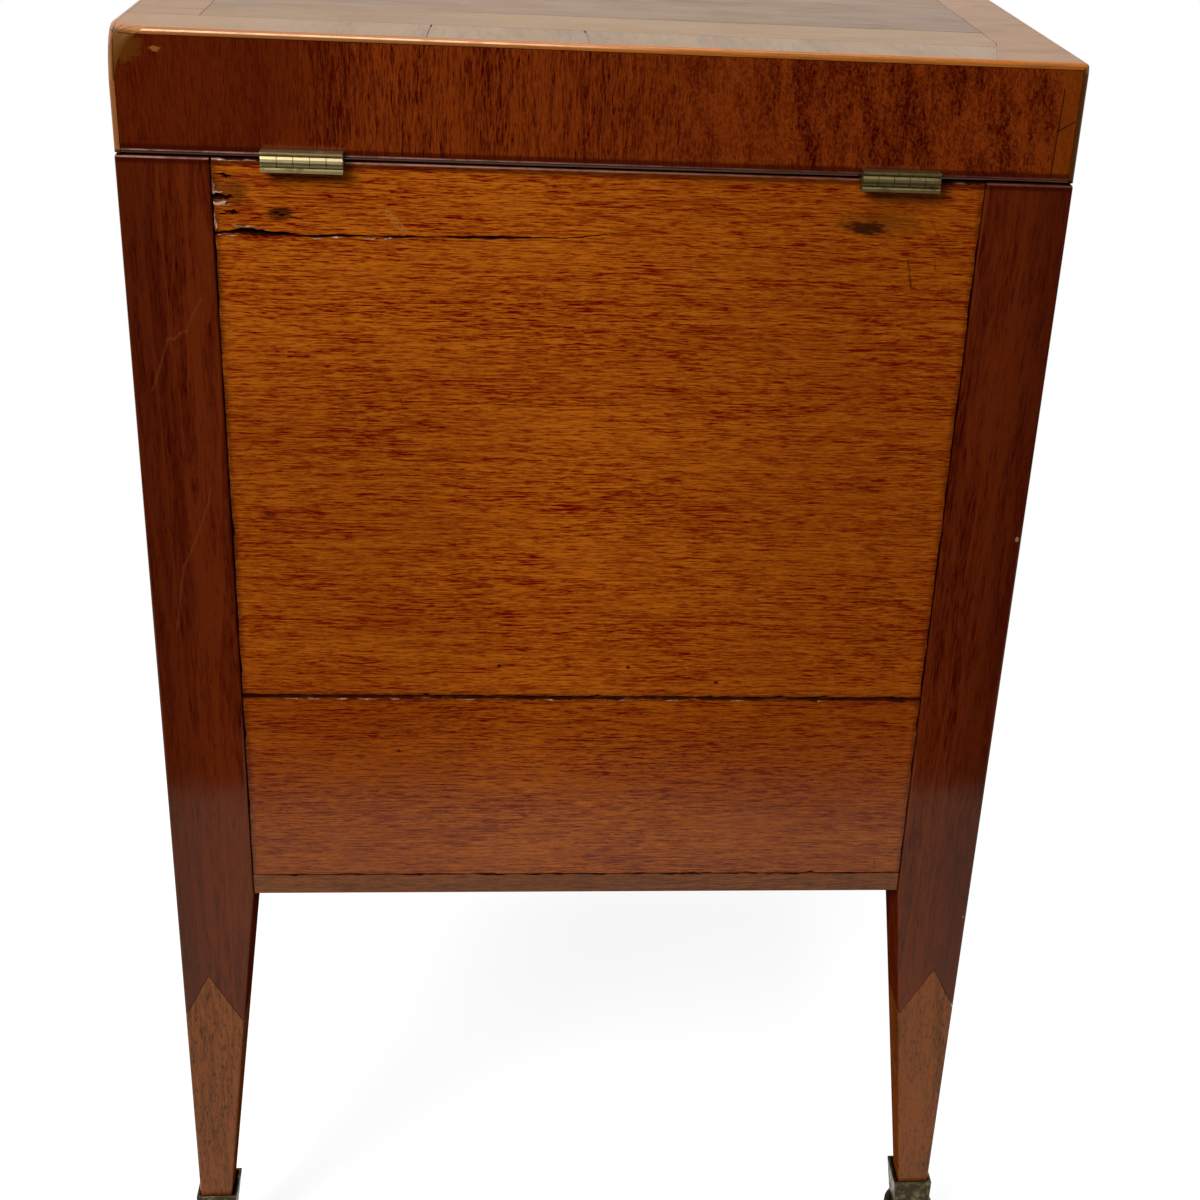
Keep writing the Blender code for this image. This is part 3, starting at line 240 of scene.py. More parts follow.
class Finish(Nodes):
    """A node material under construction, for pieces whose own coordinates are those of the rest pose."""

    def __init__(self, name):
        self.material = bpy.data.materials.new(name)
        self.material.use_nodes = True
        super().__init__(self.material.node_tree)
        self.shader = self.tree.nodes["Principled BSDF"]
        self.place = self.node("TexCoord").outputs["Object"]

    def set(self, **values):
        for key, value in values.items():
            self.feed(self.shader.inputs[key.replace("_", " ")], value)

    def bump(self, height, strength, distance):
        made = self.node("Bump", {"Height": height, "Strength": strength, "Distance": distance})
        self.tree.links.new(made.outputs[0], self.shader.inputs["Normal"])

    def noise(self, place, scale=1.0, detail=2.0, roughness=0.5, distortion=0.0):
        values = {"Vector": place, "Scale": scale, "Detail": detail}
        values.update({"Roughness": roughness, "Distortion": distortion})
        return self.node("TexNoise", values).outputs["Fac"]

    def streaks(self, place, scale, detail=2.0, roughness=0.5, distortion=0.0):
        """Noise drawn out along the axes, scale being its waves in a metre along each."""
        return self.noise(self.vector("MULTIPLY", place, scale), 1.0, detail, roughness, distortion)

    def ragged(self, scale, low, high, least):
        """Noise that breaks up a mark, from least to 1."""
        return self.step(self.noise(self.place, scale, 3.0), low, high, least, 1.0)

    def paint(self, colour, mask, shade, strength=None):
        """The colour with a shade laid over it where mask is."""
        if strength is not None:
            mask = self.math("MULTIPLY", mask, strength)
        return self.mix(mask, colour, shade)

    def stroke(self, start, end, width):
        """A mask of a scratch between two (x, z) points."""
        flat = self.vector("MULTIPLY", self.place, (1.0, 0.0, 1.0))
        begin = Vector((start[0], 0, start[1]))
        run = Vector((end[0], 0, end[1])) - begin
        offset = self.vector("SUBTRACT", flat, begin)
        reach = self.vector("DOT_PRODUCT", offset, run)
        share = self.math("MULTIPLY", reach, 1 / run.length_squared, clamp=True)
        along = self.node("VectorMath", {0: run, "Scale": share}, operation="SCALE").outputs[0]
        away = self.vector("LENGTH", self.vector("SUBTRACT", offset, along))
        return self.step(away, width, width * 0.3)

    def spot(self, centre, radii, fray=0.0):
        """A mask of an oval mark round an (x, z) point, its outline frayed by noise."""
        offset = self.vector("SUBTRACT", self.place, (centre[0], 0.0, centre[1]))
        flat = self.vector("MULTIPLY", offset, (1 / radii[0], 0.0, 1 / radii[1]))
        away = self.vector("LENGTH", flat)
        if fray:
            outline = self.streaks(self.place, (170.0, 900.0, 900.0), 3.0, 0.6)
            stray = self.math("MULTIPLY", self.math("SUBTRACT", outline, 0.5), 2 * fray)
            away = self.math("ADD", away, stray)
        return self.step(away, 1.0, 0.5)


def grain(finish, along, bend, seed):
    """Coordinates (along, across, depth) of the grain, gently bent, in metres."""
    parts = finish.parts(finish.place)
    axis = "xyz".index(along)
    others = [number for number in range(3) if number != axis]
    own = finish.node("Attribute", attribute_type="OBJECT", attribute_name="grain_seed").outputs["Fac"]
    shift = finish.math("ADD", finish.math("MULTIPLY", own, 1.37), seed)
    raw = finish.join(finish.math("ADD", parts[axis], shift), parts[others[0]], parts[others[1]])
    slow = finish.streaks(raw, (5.0, 22.0, 22.0))
    sway = finish.math("MULTIPLY", finish.math("SUBTRACT", slow, 0.5), bend)
    return finish.vector("ADD", raw, finish.join(0.0, sway, sway))


def mottled(finish, cover, lines, strength, where):
    """Curly grain of flames and specks, which comes in along x as where says."""
    run, across, depth = finish.parts(lines)[:]
    lean = finish.math("ADD", across, finish.math("MULTIPLY", run, -0.16))
    slant = finish.join(run, lean, depth)
    flames = finish.streaks(slant, (34.0, 110.0, 110.0), 3.0, 0.5, 0.5)
    flames = finish.step(flames, 0.36, 0.64, -0.6 * strength, strength)
    specks = finish.streaks(slant, (380.0, 600.0, 600.0), 2.0, 0.5, 1.2)
    curl = finish.math("ADD", flames, finish.step(specks, 0.38, 0.62, -strength, strength))
    side = finish.step(finish.parts(finish.place)[0], *where, 0.1, 1.0)
    cover = finish.math("MULTIPLY", cover, finish.step(side, 0.0, 1.0, 1.0, 0.38))
    return finish.math("ADD", cover, finish.math("MULTIPLY", finish.math("ADD", curl, 0.27), side))


def contoured(finish, cover, lines, strength, count):
    """Paler lines that follow the grain like contours on a map."""
    field = finish.streaks(lines, (1.9, 24.0, 24.0), 1.0)
    teeth = finish.math("FRACT", finish.math("MULTIPLY", field, count))
    return finish.math("SUBTRACT", cover, finish.step(teeth, 0.72, 0.98, 0.0, strength))


def wood(
    name, along, light, dark, streaks, marks=(), seed=0.0, bend=0.004, tone=0.25, shade=0.0, blur=0.1,
    mottle=None, contour=None, dull=None, specular=0.5, roughness=0.2, wear=0.06, relief=0.04,
):
    """Polished wood whose grain runs along an axis.

    Each of the streaks is a layer of dashes on the ground: their length and width in millimetres, the
    noise level at which they start, and how dark they are, or pale where that is below zero. Marks are
    functions that change the colour; dull is one that masks unpolished faces.
    """
    finish = Finish(name)
    lines = grain(finish, along, bend, seed)
    slow = finish.streaks(lines, (5.0, 45.0, 45.0), 3.0, 0.55)
    cover = finish.step(slow, 0.3, 0.7, shade - tone, shade + tone)
    crowd = finish.step(finish.streaks(lines, (14.0, 70.0, 70.0)), 0.3, 0.65, 0.7, 1.0)
    dents = None
    for length, width, level, strength in streaks:
        scale = (1 / (length * MM), 1 / (width * MM), 1 / (width * MM))
        dashes = finish.step(finish.streaks(lines, scale, 2.0, 0.6), level, level + blur)
        dashes = finish.math("MULTIPLY", dashes, crowd)
        dents = dents or dashes
        cover = finish.math("ADD", cover, finish.math("MULTIPLY", dashes, strength))
    if mottle:
        cover = mottled(finish, cover, lines, *mottle)
    if contour:
        cover = contoured(finish, cover, lines, *contour)
    cover = finish.math("MAXIMUM", finish.math("MINIMUM", cover, 1.0), 0.0)
    colour = finish.mix(cover, light, dark)
    for mark in marks:
        colour = mark(finish, colour)
    finish.set(Base_Color=colour, Specular_IOR_Level=specular, Specular_Tint=AMBER)
    worn = finish.streaks(lines, (30.0, 60.0, 60.0), 3.0)
    rough = finish.step(worn, 0.3, 0.8, roughness, roughness + wear)
    if dull:
        raw = dull(finish)
        finish.set(Specular_IOR_Level=finish.step(raw, 0.0, 1.0, specular, 0.0))
        rough = finish.math("ADD", rough, finish.math("MULTIPLY", raw, 0.5))
    finish.set(Roughness=rough)
    finish.bump(finish.math("MULTIPLY", dents, -1.0), relief, 0.0002)
    return finish.material


def metal(name, bright, dull, roughness, patina=0.5, darkened_below=None):
    """Metal with a cloudy patina; below a given height it is nearly black."""
    finish = Finish(name)
    cloud = finish.noise(finish.place, 160.0, 4.0, 0.6)
    fine = finish.noise(finish.place, 1400.0, 3.0, 0.6)
    start = 0.75 - patina * 0.35
    cover = finish.math("ADD", cloud, finish.math("MULTIPLY", fine, 0.3))
    cover = finish.step(cover, start, start + 0.2)
    colour = finish.mix(cover, bright, dull)
    if darkened_below:
        below = finish.step(finish.parts(finish.place)[2], darkened_below, darkened_below - 0.0003, 0.0, 0.85)
        colour = finish.paint(colour, below, LOW_BAR_DARK)
    finish.set(Base_Color=colour, Metallic=1.0)
    finish.set(Roughness=finish.math("ADD", finish.math("MULTIPLY", cover, 0.25), roughness))
    finish.bump(finish.math("ADD", cloud, finish.math("MULTIPLY", fine, 0.5)), 0.12, 0.0002)
    return finish.material


def grime(finish, colour, mask, strength):
    """Dirt where mask is, broken up by noise."""
    mask = finish.math("MULTIPLY", mask, finish.ragged(300.0, 0.3, 0.6, 0.35))
    return finish.paint(colour, mask, DIRT, strength)


def pale_edge(finish, colour, edge, side):
    """Painted shade beside a level edge, and a painted highlight along its rounding; side is the way out of
    the wood.
    """
    parts = finish.parts(finish.place)
    height = finish.math("MULTIPLY", finish.math("SUBTRACT", parts[2], edge), side)
    # Painted shade in a band next to the edge, darkest nearest the gap
    colour = finish.paint(colour, finish.step(height, -0.0042, -0.0024, 0.0, 0.75), GAP_SHADE)
    # A painted highlight on the edge's rounding, strongest at the left and fading towards the right
    inner = finish.step(height, -0.0011, -0.0007)
    outer = finish.step(height, -0.00015, -0.0004)
    spread = finish.step(parts[0], -0.15, 0.2, 0.12, 0.7)
    line = finish.math("MULTIPLY", inner, outer, finish.ragged(120.0, 0.35, 0.6, 0.4), spread)
    return finish.paint(colour, line, EDGE_HIGHLIGHT)


def shaded_rim(finish, colour):
    """Painted shade along the lid's lower edge, where its rounding faces down."""
    height = finish.parts(finish.place)[2]
    rim = finish.step(height, LID_LOW + 1.3 * RIM, LID_LOW + 0.9 * RIM, 0.0, 0.85)
    return finish.paint(colour, rim, RIM_SHADE)


def scratches(finish, colour):
    """Old marks on the back's boards: dirt along the joints, scribbles, smudges, knots, a rubbed scar;
    painted shade and highlight.
    """
    parts = finish.parts(finish.place)
    away = finish.math("ABSOLUTE", parts[0])
    colour = grime(finish, colour, finish.step(away, 0.1805, 0.1846), 0.75)
    seam = finish.math("ABSOLUTE", finish.math("SUBTRACT", parts[2], (SEAM_TOP + SEAM_LOW) / 2))
    colour = grime(finish, colour, finish.step(seam, 0.0035, 0.001), 0.6)
    broken = finish.step(finish.noise(finish.place, 900.0, 2.0), 0.35, 0.55, 0.25, 1.0)
    for start, end, width, strength in SCRIBBLES:
        mark = finish.math("MULTIPLY", finish.stroke(start, end, width), broken)
        colour = finish.paint(colour, mark, SCRIBBLE, strength)
    scar = finish.math("MULTIPLY", finish.stroke((0.1036, 0.6785), (0.0955, 0.6695), 0.0024), broken)
    colour = finish.paint(colour, scar, SCAR, 0.5)
    for centre, radii, shade, strength in SMUDGES:
        colour = finish.paint(colour, finish.spot(centre, radii, 0.9), shade, strength)
    for centre in DOTS:
        colour = finish.paint(colour, finish.spot(centre, (0.0015, 0.0012)), DOT)
    # Painted shade towards the right, away from the light; at the left the colour also darkens towards the
    # bottom
    right = finish.step(parts[0], 0.05, -0.15, 0.0, 0.3)
    left = finish.step(parts[0], 0.0, 0.12)
    low = finish.math("MULTIPLY", finish.step(parts[2], 0.65, 0.55, 0.0, 0.26), left)
    colour = finish.paint(colour, finish.math("MAXIMUM", right, low), DEEP_RED)
    # Painted shade and a painted highlight along the case's top edge
    return pale_edge(finish, colour, CASE_TOP, 1)


def inner_faces(finish):
    """A mask of the posts' unpolished inner and top faces."""
    normal = finish.parts(finish.node("NewGeometry").outputs["Normal"])
    parts = finish.parts(finish.place)
    masks = [finish.step(normal[2], 0.8, 0.95)]
    for axis, outer in ((0, LID_HALF_X), (1, LID_HALF_Y)):
        facing = finish.step(finish.math("ABSOLUTE", normal[axis]), 0.8, 0.95)
        inside = finish.step(finish.math("ABSOLUTE", parts[axis]), outer - 0.001, outer - 0.002)
        masks.append(finish.math("MULTIPLY", facing, inside))
    return finish.math("MAXIMUM", *masks)


def post_marks(finish, colour):
    """Posts darken towards the outer corners and have painted shade and a painted highlight at the top; the
    back ones have curls and chips.
    """
    parts = finish.parts(finish.place)
    away = finish.math("ABSOLUTE", parts[0])
    colour = finish.paint(colour, finish.step(away, 0.198, 0.2285, 0.0, 0.45), POST_SHADE)
    at_back = finish.step(parts[1], 0.1, 0.15)
    for path in POST_CURLS:
        for start, end in zip(path, path[1:]):
            curl = finish.math("MULTIPLY", finish.stroke(start, end, 0.0009), at_back)
            colour = finish.paint(colour, curl, CURL, 0.22)
    for centre, radii in POST_CHIPS:
        chip = finish.math("MULTIPLY", finish.spot(centre, radii), at_back)
        colour = finish.paint(colour, chip, POST_CHIP, 0.8)
    # Painted shade and a painted highlight along the posts' top edge
    return pale_edge(finish, colour, CASE_TOP, 1)


def lid_back_marks(finish, colour):
    """The lid's back: a plainer dark left end, a worn corner, and slanted joints near the right end."""
    parts = finish.parts(finish.place)
    colour = finish.paint(colour, finish.step(parts[0], 0.1, 0.16, 0.0, 0.7), LID_PLAIN)
    colour = finish.paint(colour, finish.step(parts[0], -0.2155, -0.2165, 0.0, 0.5), LID_TAIL)
    for start, end in LID_JOINTS:
        colour = finish.paint(colour, finish.stroke(start, end, 0.0006), LID_JOINT, 0.8)
    worn = finish.spot((0.2205, 0.7515), (0.0095, 0.0085), 0.6)
    colour = finish.paint(colour, worn, LID_WORN, 0.6)
    chip = finish.spot((0.2065, 0.7508), (0.0032, 0.0013), 0.9)
    colour = finish.paint(colour, chip, LID_CHIP, 0.7)
    # Painted shade along the lower rim, then painted shade and a painted highlight along the lower edge
    return pale_edge(finish, shaded_rim(finish, colour), LID_LOW + RIM, -1)


def band_marks(finish, colour):
    """At its left end the back border is as warm as the side border."""
    warm = finish.step(finish.parts(finish.place)[0], 0.12, 0.2)
    return finish.paint(colour, warm, BAND_RED[0])


def field_marks(finish, colour):
    """The field is paler behind its crack; at the left the pale strip has no clear edge."""
    x, y = finish.parts(finish.place)[0:2]
    sharp = finish.step(y, FIELD_CRACK - 0.0003, FIELD_CRACK + 0.0003, 0.0, 0.55)
    soft = finish.step(y, FIELD_CRACK - 0.03, FIELD_CRACK + 0.03, 0.0, 0.3)
    pale = finish.step(finish.step(x, 0.03, 0.1), 0.0, 1.0, sharp, soft)
    return finish.paint(colour, pale, PALE_FIELD)


def string_marks(finish, colour):
    """The stringing is dark with polish but for the back's top edge and the back's left corner.

    Its left half is browner, with a painted highlight along the arris.
    """
    parts = finish.parts(finish.place)
    colour = finish.paint(colour, finish.step(parts[0], 0.0, 0.1), BROWN_STRING, 0.8)
    height = finish.math("SUBTRACT", parts[2], VENEER_TOP)
    # A painted highlight along the rounded arris, at the left
    inner = finish.step(height, -0.0017, -0.0013)
    outer = finish.step(height, -0.0007, -0.001)
    left = finish.step(parts[0], -0.04, 0.06)
    line = finish.math("MULTIPLY", inner, outer, finish.ragged(90.0, 0.3, 0.55, 0.55), left)
    colour = finish.paint(colour, line, STRING_HIGHLIGHT)
    aside = finish.step(finish.math("ABSOLUTE", parts[0]), 0.2253, 0.2257)
    inward = finish.step(parts[1], LID_HALF_Y - 0.0028, LID_HALF_Y - 0.0034)
    colour = finish.paint(colour, finish.math("MULTIPLY", aside, inward), SIDE_STRING)
    below = finish.step(parts[2], VENEER_TOP - 0.0026, VENEER_TOP - 0.0036)
    right = finish.math("MULTIPLY", finish.step(parts[0], -0.2248, -0.2255), below)
    # Painted shade along the lid's lower rim
    return shaded_rim(finish, finish.paint(colour, right, DARK_STRING))


def worn_marks(finish, colour):
    """A worn corner is pale where the stringing ran, and as brown as the veneer further in."""
    parts = finish.parts(finish.place)
    away = finish.math("ABSOLUTE", parts[0])
    inward = finish.step(away, LID_HALF_X - 0.0016, LID_HALF_X - 0.0028)
    below = finish.step(parts[2], VENEER_TOP - 0.0012, VENEER_TOP - 0.0026)
    return finish.paint(colour, finish.math("MULTIPLY", inward, below), WORN_VENEER)


# Streaks below zero, on the boards and the lid, are pale flecks of grain that also stand for painted
# highlights on the pores
BOARD_STREAKS = (
    (14.0, 0.85, 0.485, 0.45), (6.0, 0.5, 0.49, 0.45), (50.0, 0.7, 0.51, 0.3), (70.0, 4.0, 0.46, 0.15),
    (14.0, 0.6, 0.5, -0.3), (5.0, 0.4, 0.53, -0.3),
)
POST_STREAKS = ((15.0, 1.2, 0.5, 0.35), (45.0, 5.0, 0.44, 0.3), (8.0, 0.65, 0.51, 0.35))
TIP_STREAKS = ((4.5, 1.3, 0.57, 0.8), (26.0, 2.4, 0.46, 0.35), (6.0, 0.8, 0.49, 0.4))
LID_STREAKS = (
    (13.0, 1.2, 0.485, 0.48), (5.0, 0.6, 0.495, 0.46), (3.0, 0.5, 0.51, 0.25), (60.0, 6.0, 0.46, 0.18),
    (9.0, 0.8, 0.5, -0.25), (4.0, 0.45, 0.53, -0.25),
)
TOP_STREAKS = ((14.0, 1.2, 0.5, 0.35), (40.0, 4.0, 0.47, 0.3))
STRING_STREAKS = ((20.0, 0.8, 0.48, 0.5),)
PLAIN_STREAKS = ((18.0, 1.5, 0.52, 0.3), (60.0, 6.0, 0.47, 0.25))
BRUISE_STREAKS = ((5.0, 2.0, 0.46, 0.9),)

BOARD_LOOK = {"bend": 0.007, "tone": 0.1, "shade": 0.22, "blur": 0.085, "roughness": 0.13, "specular": 0.34}
LID_LOOK = {"tone": 0.15, "shade": 0.13, "roughness": 0.12, "relief": 0.015, "specular": 0.35}
TOP_LOOK = {"roughness": 0.26, "relief": 0.02}

BACK_WOOD = wood("back_mahogany", "x", *ORANGE, BOARD_STREAKS, (scratches,), **BOARD_LOOK)
# The lower back board takes the darker copy of the same wood: painted shade
SHADED_BACK_WOOD = wood("shaded_low_back_mahogany", "x", *SHADED_ORANGE, BOARD_STREAKS, (scratches,), 6.6, **BOARD_LOOK)
FRONT_WOOD = wood("front_mahogany", "x", *ORANGE, BOARD_STREAKS, seed=3.1, **BOARD_LOOK)
BOTTOM_WOOD = wood("bottom_mahogany", "x", *BROWN, BOARD_STREAKS, seed=8.3, **BOARD_LOOK)
SIDE_WOOD = wood("side_mahogany", "y", *ORANGE, BOARD_STREAKS, seed=5.7, **BOARD_LOOK)
POST_WOOD = wood(
    "post_mahogany", "z", *DARK_RED, POST_STREAKS, (post_marks,), contour=(0.45, 7.0),
    dull=inner_faces, roughness=0.07, wear=0.05, relief=0.012, specular=0.21,
)
TIP_WOOD = wood(
    "tip_mahogany", "z", *PALE_TIP, TIP_STREAKS, dull=inner_faces, roughness=0.22, specular=0.25,
)
LID_BACK_WOOD = wood(
    "lid_back_mahogany", "z", *LID_RED, LID_STREAKS, (lid_back_marks,),
    mottle=(0.25, (0.05, -0.1)), **LID_LOOK,
)
LID_WOOD = wood(
    "lid_mahogany", "z", *LID_RED, LID_STREAKS, seed=2.3, mottle=(0.25, (0.3, -0.3)), **LID_LOOK,
)
LONG_WOOD = wood("drawer_mahogany", "x", *LID_RED, BOARD_STREAKS, seed=9.4, **LID_LOOK)
FIELD_WOOD = wood(
    "lid_field_veneer", "x", *FIELD_RED, TOP_STREAKS, (field_marks,), 1.1, specular=0.05, **TOP_LOOK,
)
BAND_WOOD_Y = wood(
    "lid_band_veneer", "y", *BACK_BAND, TOP_STREAKS, (band_marks,), 4.2, specular=0.075, **TOP_LOOK,
)
BAND_WOOD_X = wood(
    "lid_end_band_veneer", "x", *BAND_RED, TOP_STREAKS, seed=7.9, specular=0.05, **TOP_LOOK,
)
STRING_WOOD = wood(
    "boxwood_string", "x", *STRING_TAN, STRING_STREAKS, (string_marks,),
    roughness=0.2, relief=0.01, specular=0.12,
)
PLAIN_WOOD_X = wood("poplar_x", "x", *POPLAR, PLAIN_STREAKS, roughness=0.5, specular=0.2)
PLAIN_WOOD_Y = wood("poplar_y", "y", *POPLAR, PLAIN_STREAKS, seed=2.9, roughness=0.5, specular=0.2)
# Old split wood darkened as painted shade, for the faces inside cuts
SPLIT_AND_SHADE_WOOD = wood("old_split_and_shade", "x", *SPLIT_AND_SHADE, PLAIN_STREAKS, roughness=0.8, specular=0.0)
RAW_PALE = wood("bruised_edge", "x", *BRUISE, BRUISE_STREAKS, roughness=0.5, specular=0.2)
WORN_WOOD = wood(
    "worn_corner", "z", *WORN, PLAIN_STREAKS, (worn_marks,), roughness=0.3, specular=0.12,
)
HINGE_BRASS = metal("hinge_brass", (0.43, 0.34, 0.17), (0.26, 0.195, 0.08), 0.38, 0.15, STOP_BAR)
DULL_BRASS = metal("dull_hinge_brass", (0.21, 0.157, 0.06), (0.1, 0.07, 0.025), 0.38, 0.35, STOP_BAR)
CASTOR_BRASS = metal("castor_brass", (0.125, 0.092, 0.048), (0.045, 0.032, 0.016), 0.3, 0.7)
KNOB_BRASS = metal("knob_brass", (0.62, 0.45, 0.2), (0.28, 0.18, 0.06), 0.18, 0.4)
LOCK_IRON = metal("lock_iron", (0.16, 0.15, 0.14), (0.07, 0.05, 0.04), 0.4, 0.6)

# Materials of the CAD nodes by the start of their names; the first that fits is taken
NODE_FINISHES = (
    ("post_", POST_WOOD),
    ("leg_tip_", TIP_WOOD),
    ("back_upper_board", BACK_WOOD),
    ("back_lower_board", SHADED_BACK_WOOD),
    ("bottom_board", BOTTOM_WOOD),
    (("left_side_board", "right_side_board"), SIDE_WOOD),
    (("front_board", "drawer_rail"), FRONT_WOOD),
    (("lid_top_board", "drawer_front"), LONG_WOOD),
    ("lid_rail_back", LID_BACK_WOOD),
    ("lid_rail", LID_WOOD),
    ("lid_edge_string", STRING_WOOD),
    ("hinge_left", DULL_BRASS),
    ("hinge_right", HINGE_BRASS),
    ("castor_", CASTOR_BRASS),
    (("drawer_knob", "escutcheon", "lock_bolt", "lock_strike"), KNOB_BRASS),
    ("lock_case", LOCK_IRON),
    (("cross_", "well_", "drawer_back", "drawer_bottom"), PLAIN_WOOD_X),
    ("", PLAIN_WOOD_Y),
)

for number, (node_name, node) in enumerate(sorted(NODES.items())):
    node.data.materials.clear()
    node.data.materials.append(next(made for start, made in NODE_FINISHES if node_name.startswith(start)))
    node["grain_seed"] = round(0.37 * number, 3)


# Meshes


def add_piece(name, builder, materials, body):
    """Makes a visible piece of a mesh under construction."""
    bmesh.ops.recalc_face_normals(builder, faces=builder.faces)
    mesh = bpy.data.meshes.new(name)
    builder.to_mesh(mesh)
    builder.free()
    mesh.shade_smooth()
    mesh.set_sharp_from_angle(angle=math.radians(30))
    for material in materials:
        mesh.materials.append(material)
    piece = bpy.data.objects.new(name, mesh)
    bpy.context.scene.collection.objects.link(piece)
    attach(piece, body)
    return piece


def loft(sections):
    """A closed mesh through sections of equal point counts, capped at both ends."""
    builder = bmesh.new()
    rings = [[builder.verts.new(point) for point in section] for section in sections]
    for first, second in zip(rings, rings[1:]):
        count = len(first)
        for i in range(count):
            j = (i + 1) % count
            builder.faces.new((first[i], first[j], second[j], second[i]))
    builder.faces.new(rings[0][::-1])
    builder.faces.new(rings[-1])
    bmesh.ops.recalc_face_normals(builder, faces=builder.faces)
    return builder


def cutter_object(builder, material):
    """A shape to be cut out of a piece, whose material the cut faces get."""
    mesh = bpy.data.meshes.new("cutter")
    builder.to_mesh(mesh)
    builder.free()
    mesh.materials.append(material)
    cutter = bpy.data.objects.new("cutter", mesh)
    bpy.context.scene.collection.objects.link(cutter)
    return cutter


def carved(name, node_name, cuts, body):
    """A copy of a CAD node with dents and splits cut out of it, which stands for the node."""
    source = NODES[node_name]
    builder = bmesh.new()
    builder.from_mesh(source.data)
    bmesh.ops.remove_doubles(builder, verts=builder.verts, dist=1e-6)
    piece = add_piece(name, builder, [source.data.materials[0]], body)
    piece["grain_seed"] = source["grain_seed"]
    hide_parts(node_name)
    cut_piece(piece, cuts)


def cut_piece(piece, cuts):
    """Cuts shapes out of a piece and removes them; flat faces along the axes stay flat."""
    for cut in cuts:
        modifier = piece.modifiers.new("cut", "BOOLEAN")
        modifier.operation = "DIFFERENCE"
        modifier.solver = "EXACT"
        modifier.material_mode = "TRANSFER"
        modifier.object = cut
    bpy.context.view_layer.update()
    graph = bpy.context.evaluated_depsgraph_get()
    mesh = bpy.data.meshes.new_from_object(piece.evaluated_get(graph))
    piece.modifiers.clear()
    piece.data = mesh
    mesh.set_sharp_from_angle(angle=math.radians(30))
    for face in mesh.polygons:
        face.use_smooth = max(abs(value) for value in face.normal) < 0.999
    for cut in cuts:
        bpy.data.objects.remove(cut, do_unlink=True)


def wander(draw, count, spread, hold=0.7):
    """A smoothed random walk, in the unit of spread."""
    values = []
    value = 0.0
    for _ in range(count):
        value = hold * value + draw.uniform(-spread, spread)
        values.append(value)
    return values


def split_cut(path, draw, depth, material, step=0.002):
    """A ragged V-shaped cut along (x, z, width) points on the back face."""
    stations = []
    for first, second in zip(path, path[1:]):
        pieces = max(1, round(abs(second[0] - first[0]) / step))
        for i in range(pieces):
            stations.append([a + (b - a) * i / pieces for a, b in zip(first, second)])
    stations.append(path[-1])
    sway = wander(draw, len(stations), 0.0002)
    spread = wander(draw, len(stations), 0.25)
    sections = []
    for (x, z, width), aside, share in zip(stations, sway, spread):
        half = max(0.00006, width / 2 * (1 + share))
        middle = z + aside
        deep = BACK_FACE - depth * min(1.0, width / 0.0015)
        front = BACK_FACE + 0.002
        sections.append(
            [
                (x, front, middle + half * 1.3), (x, front, middle - half * 1.3),
                (x, deep, middle - half * 0.35), (x, deep, middle + half * 0.35),
            ]
        )
    return cutter_object(loft(sections), material)


def edge_cut(draw, ends, edge, side, size, material, chips=0.12, step=0.0022, upright=False):
    """Nibbles an edge of a board on its back face; side is the way from the edge into the board."""
    count = round(abs(ends[1] - ends[0]) / step)
    rough = wander(draw, count + 1, size * 0.28)
    sections = []
    chip = 0.0
    for i in range(count + 1):
        run = ends[0] + (ends[1] - ends[0]) * i / count
        if draw.random() < chips:
            chip = draw.uniform(0.4, 1.6) * size
        else:
            chip *= 0.5
        high = max(0.00008, size * 0.5 + rough[i] + chip)
        deep = max(0.0003, 2.5 * high + abs(rough[i]))
        outline = (
            (0.002, high + 0.0008), (0.002, -0.003), (-deep, -0.003),
            (-deep, 0.00003), (-deep * 0.35, high * 0.62),
        )
        points = [(BACK_FACE + out, edge + side * up) for out, up in outline]
        sections.append([(up, out, run) if upright else (run, out, up) for out, up in points])
    return cutter_object(loft(sections), material)


def pit_cut(draw, centre, radii, depth, material):
    """A ragged hole in the back face round an (x, z) point."""
    count = 18
    sections = []
    spread = [draw.uniform(0.5, 1.35) for _ in range(count)]
    for share, level in ((1.15, 0.002), (1.0, 0.0), (0.75, -0.5 * depth), (0.3, -depth)):
        ring = []
        for i in range(count):
            angle = 2 * math.pi * i / count
            reach = share * spread[i]
            out_x = radii[0] * reach * math.cos(angle)
            out_z = radii[1] * reach * math.sin(angle)
            ring.append((centre[0] + out_x, BACK_FACE + level, centre[1] + out_z))
        sections.append(ring)
    return cutter_object(loft(sections), material)


def corner_cut(side, rounds):
    """What wear has taken off an upright back edge of the lid: (depth below the top, radius) in mm."""
    steps = 16
    sections = []
    for depth, radius in rounds:
        points = [(2.0, -radius)]
        for i in range(steps + 1):
            angle = math.pi / 2 * i / steps
            points.append((radius * (math.cos(angle) - 1), radius * (math.sin(angle) - 1)))
        points += [(-radius, 2.0), (2.0, 2.0)]
        height = VENEER_TOP - depth * MM
        sections.append([(side * (LID_HALF_X + x * MM), LID_HALF_Y + y * MM, height) for x, y in points])
    return cutter_object(loft(sections), WORN_WOOD)


def build_worn_lid(back_band):
    """The lid's rails, stringing and left back veneer with their back corners rubbed round."""
    big = (
        (-1.5, 36), (0, 30), (0.6, 24), (1.5, 19), (3, 14.5),
        (6, 10.5), (10, 7.5), (16, 4.8), (26, 2.4), (46, 0.3),
    )
    small = ((-1.5, 6), (0, 5), (1, 4), (3, 3.2), (8, 1.8), (20, 0.3))
    for name, node_name, slot in (
        ("worn_edge_string", "lid_edge_string", "boxwood"),
        ("worn_rail_back", "lid_rail_back", "lid_mahogany"),
        ("worn_rail_right", "lid_rail_right", "lid_mahogany"),
        ("worn_rail_left", "lid_rail_left", "lid_mahogany"),
    ):
        carved(name, node_name, [corner_cut(1, big), corner_cut(-1, small)], "lid")
    cut_piece(back_band, [corner_cut(1, big)])


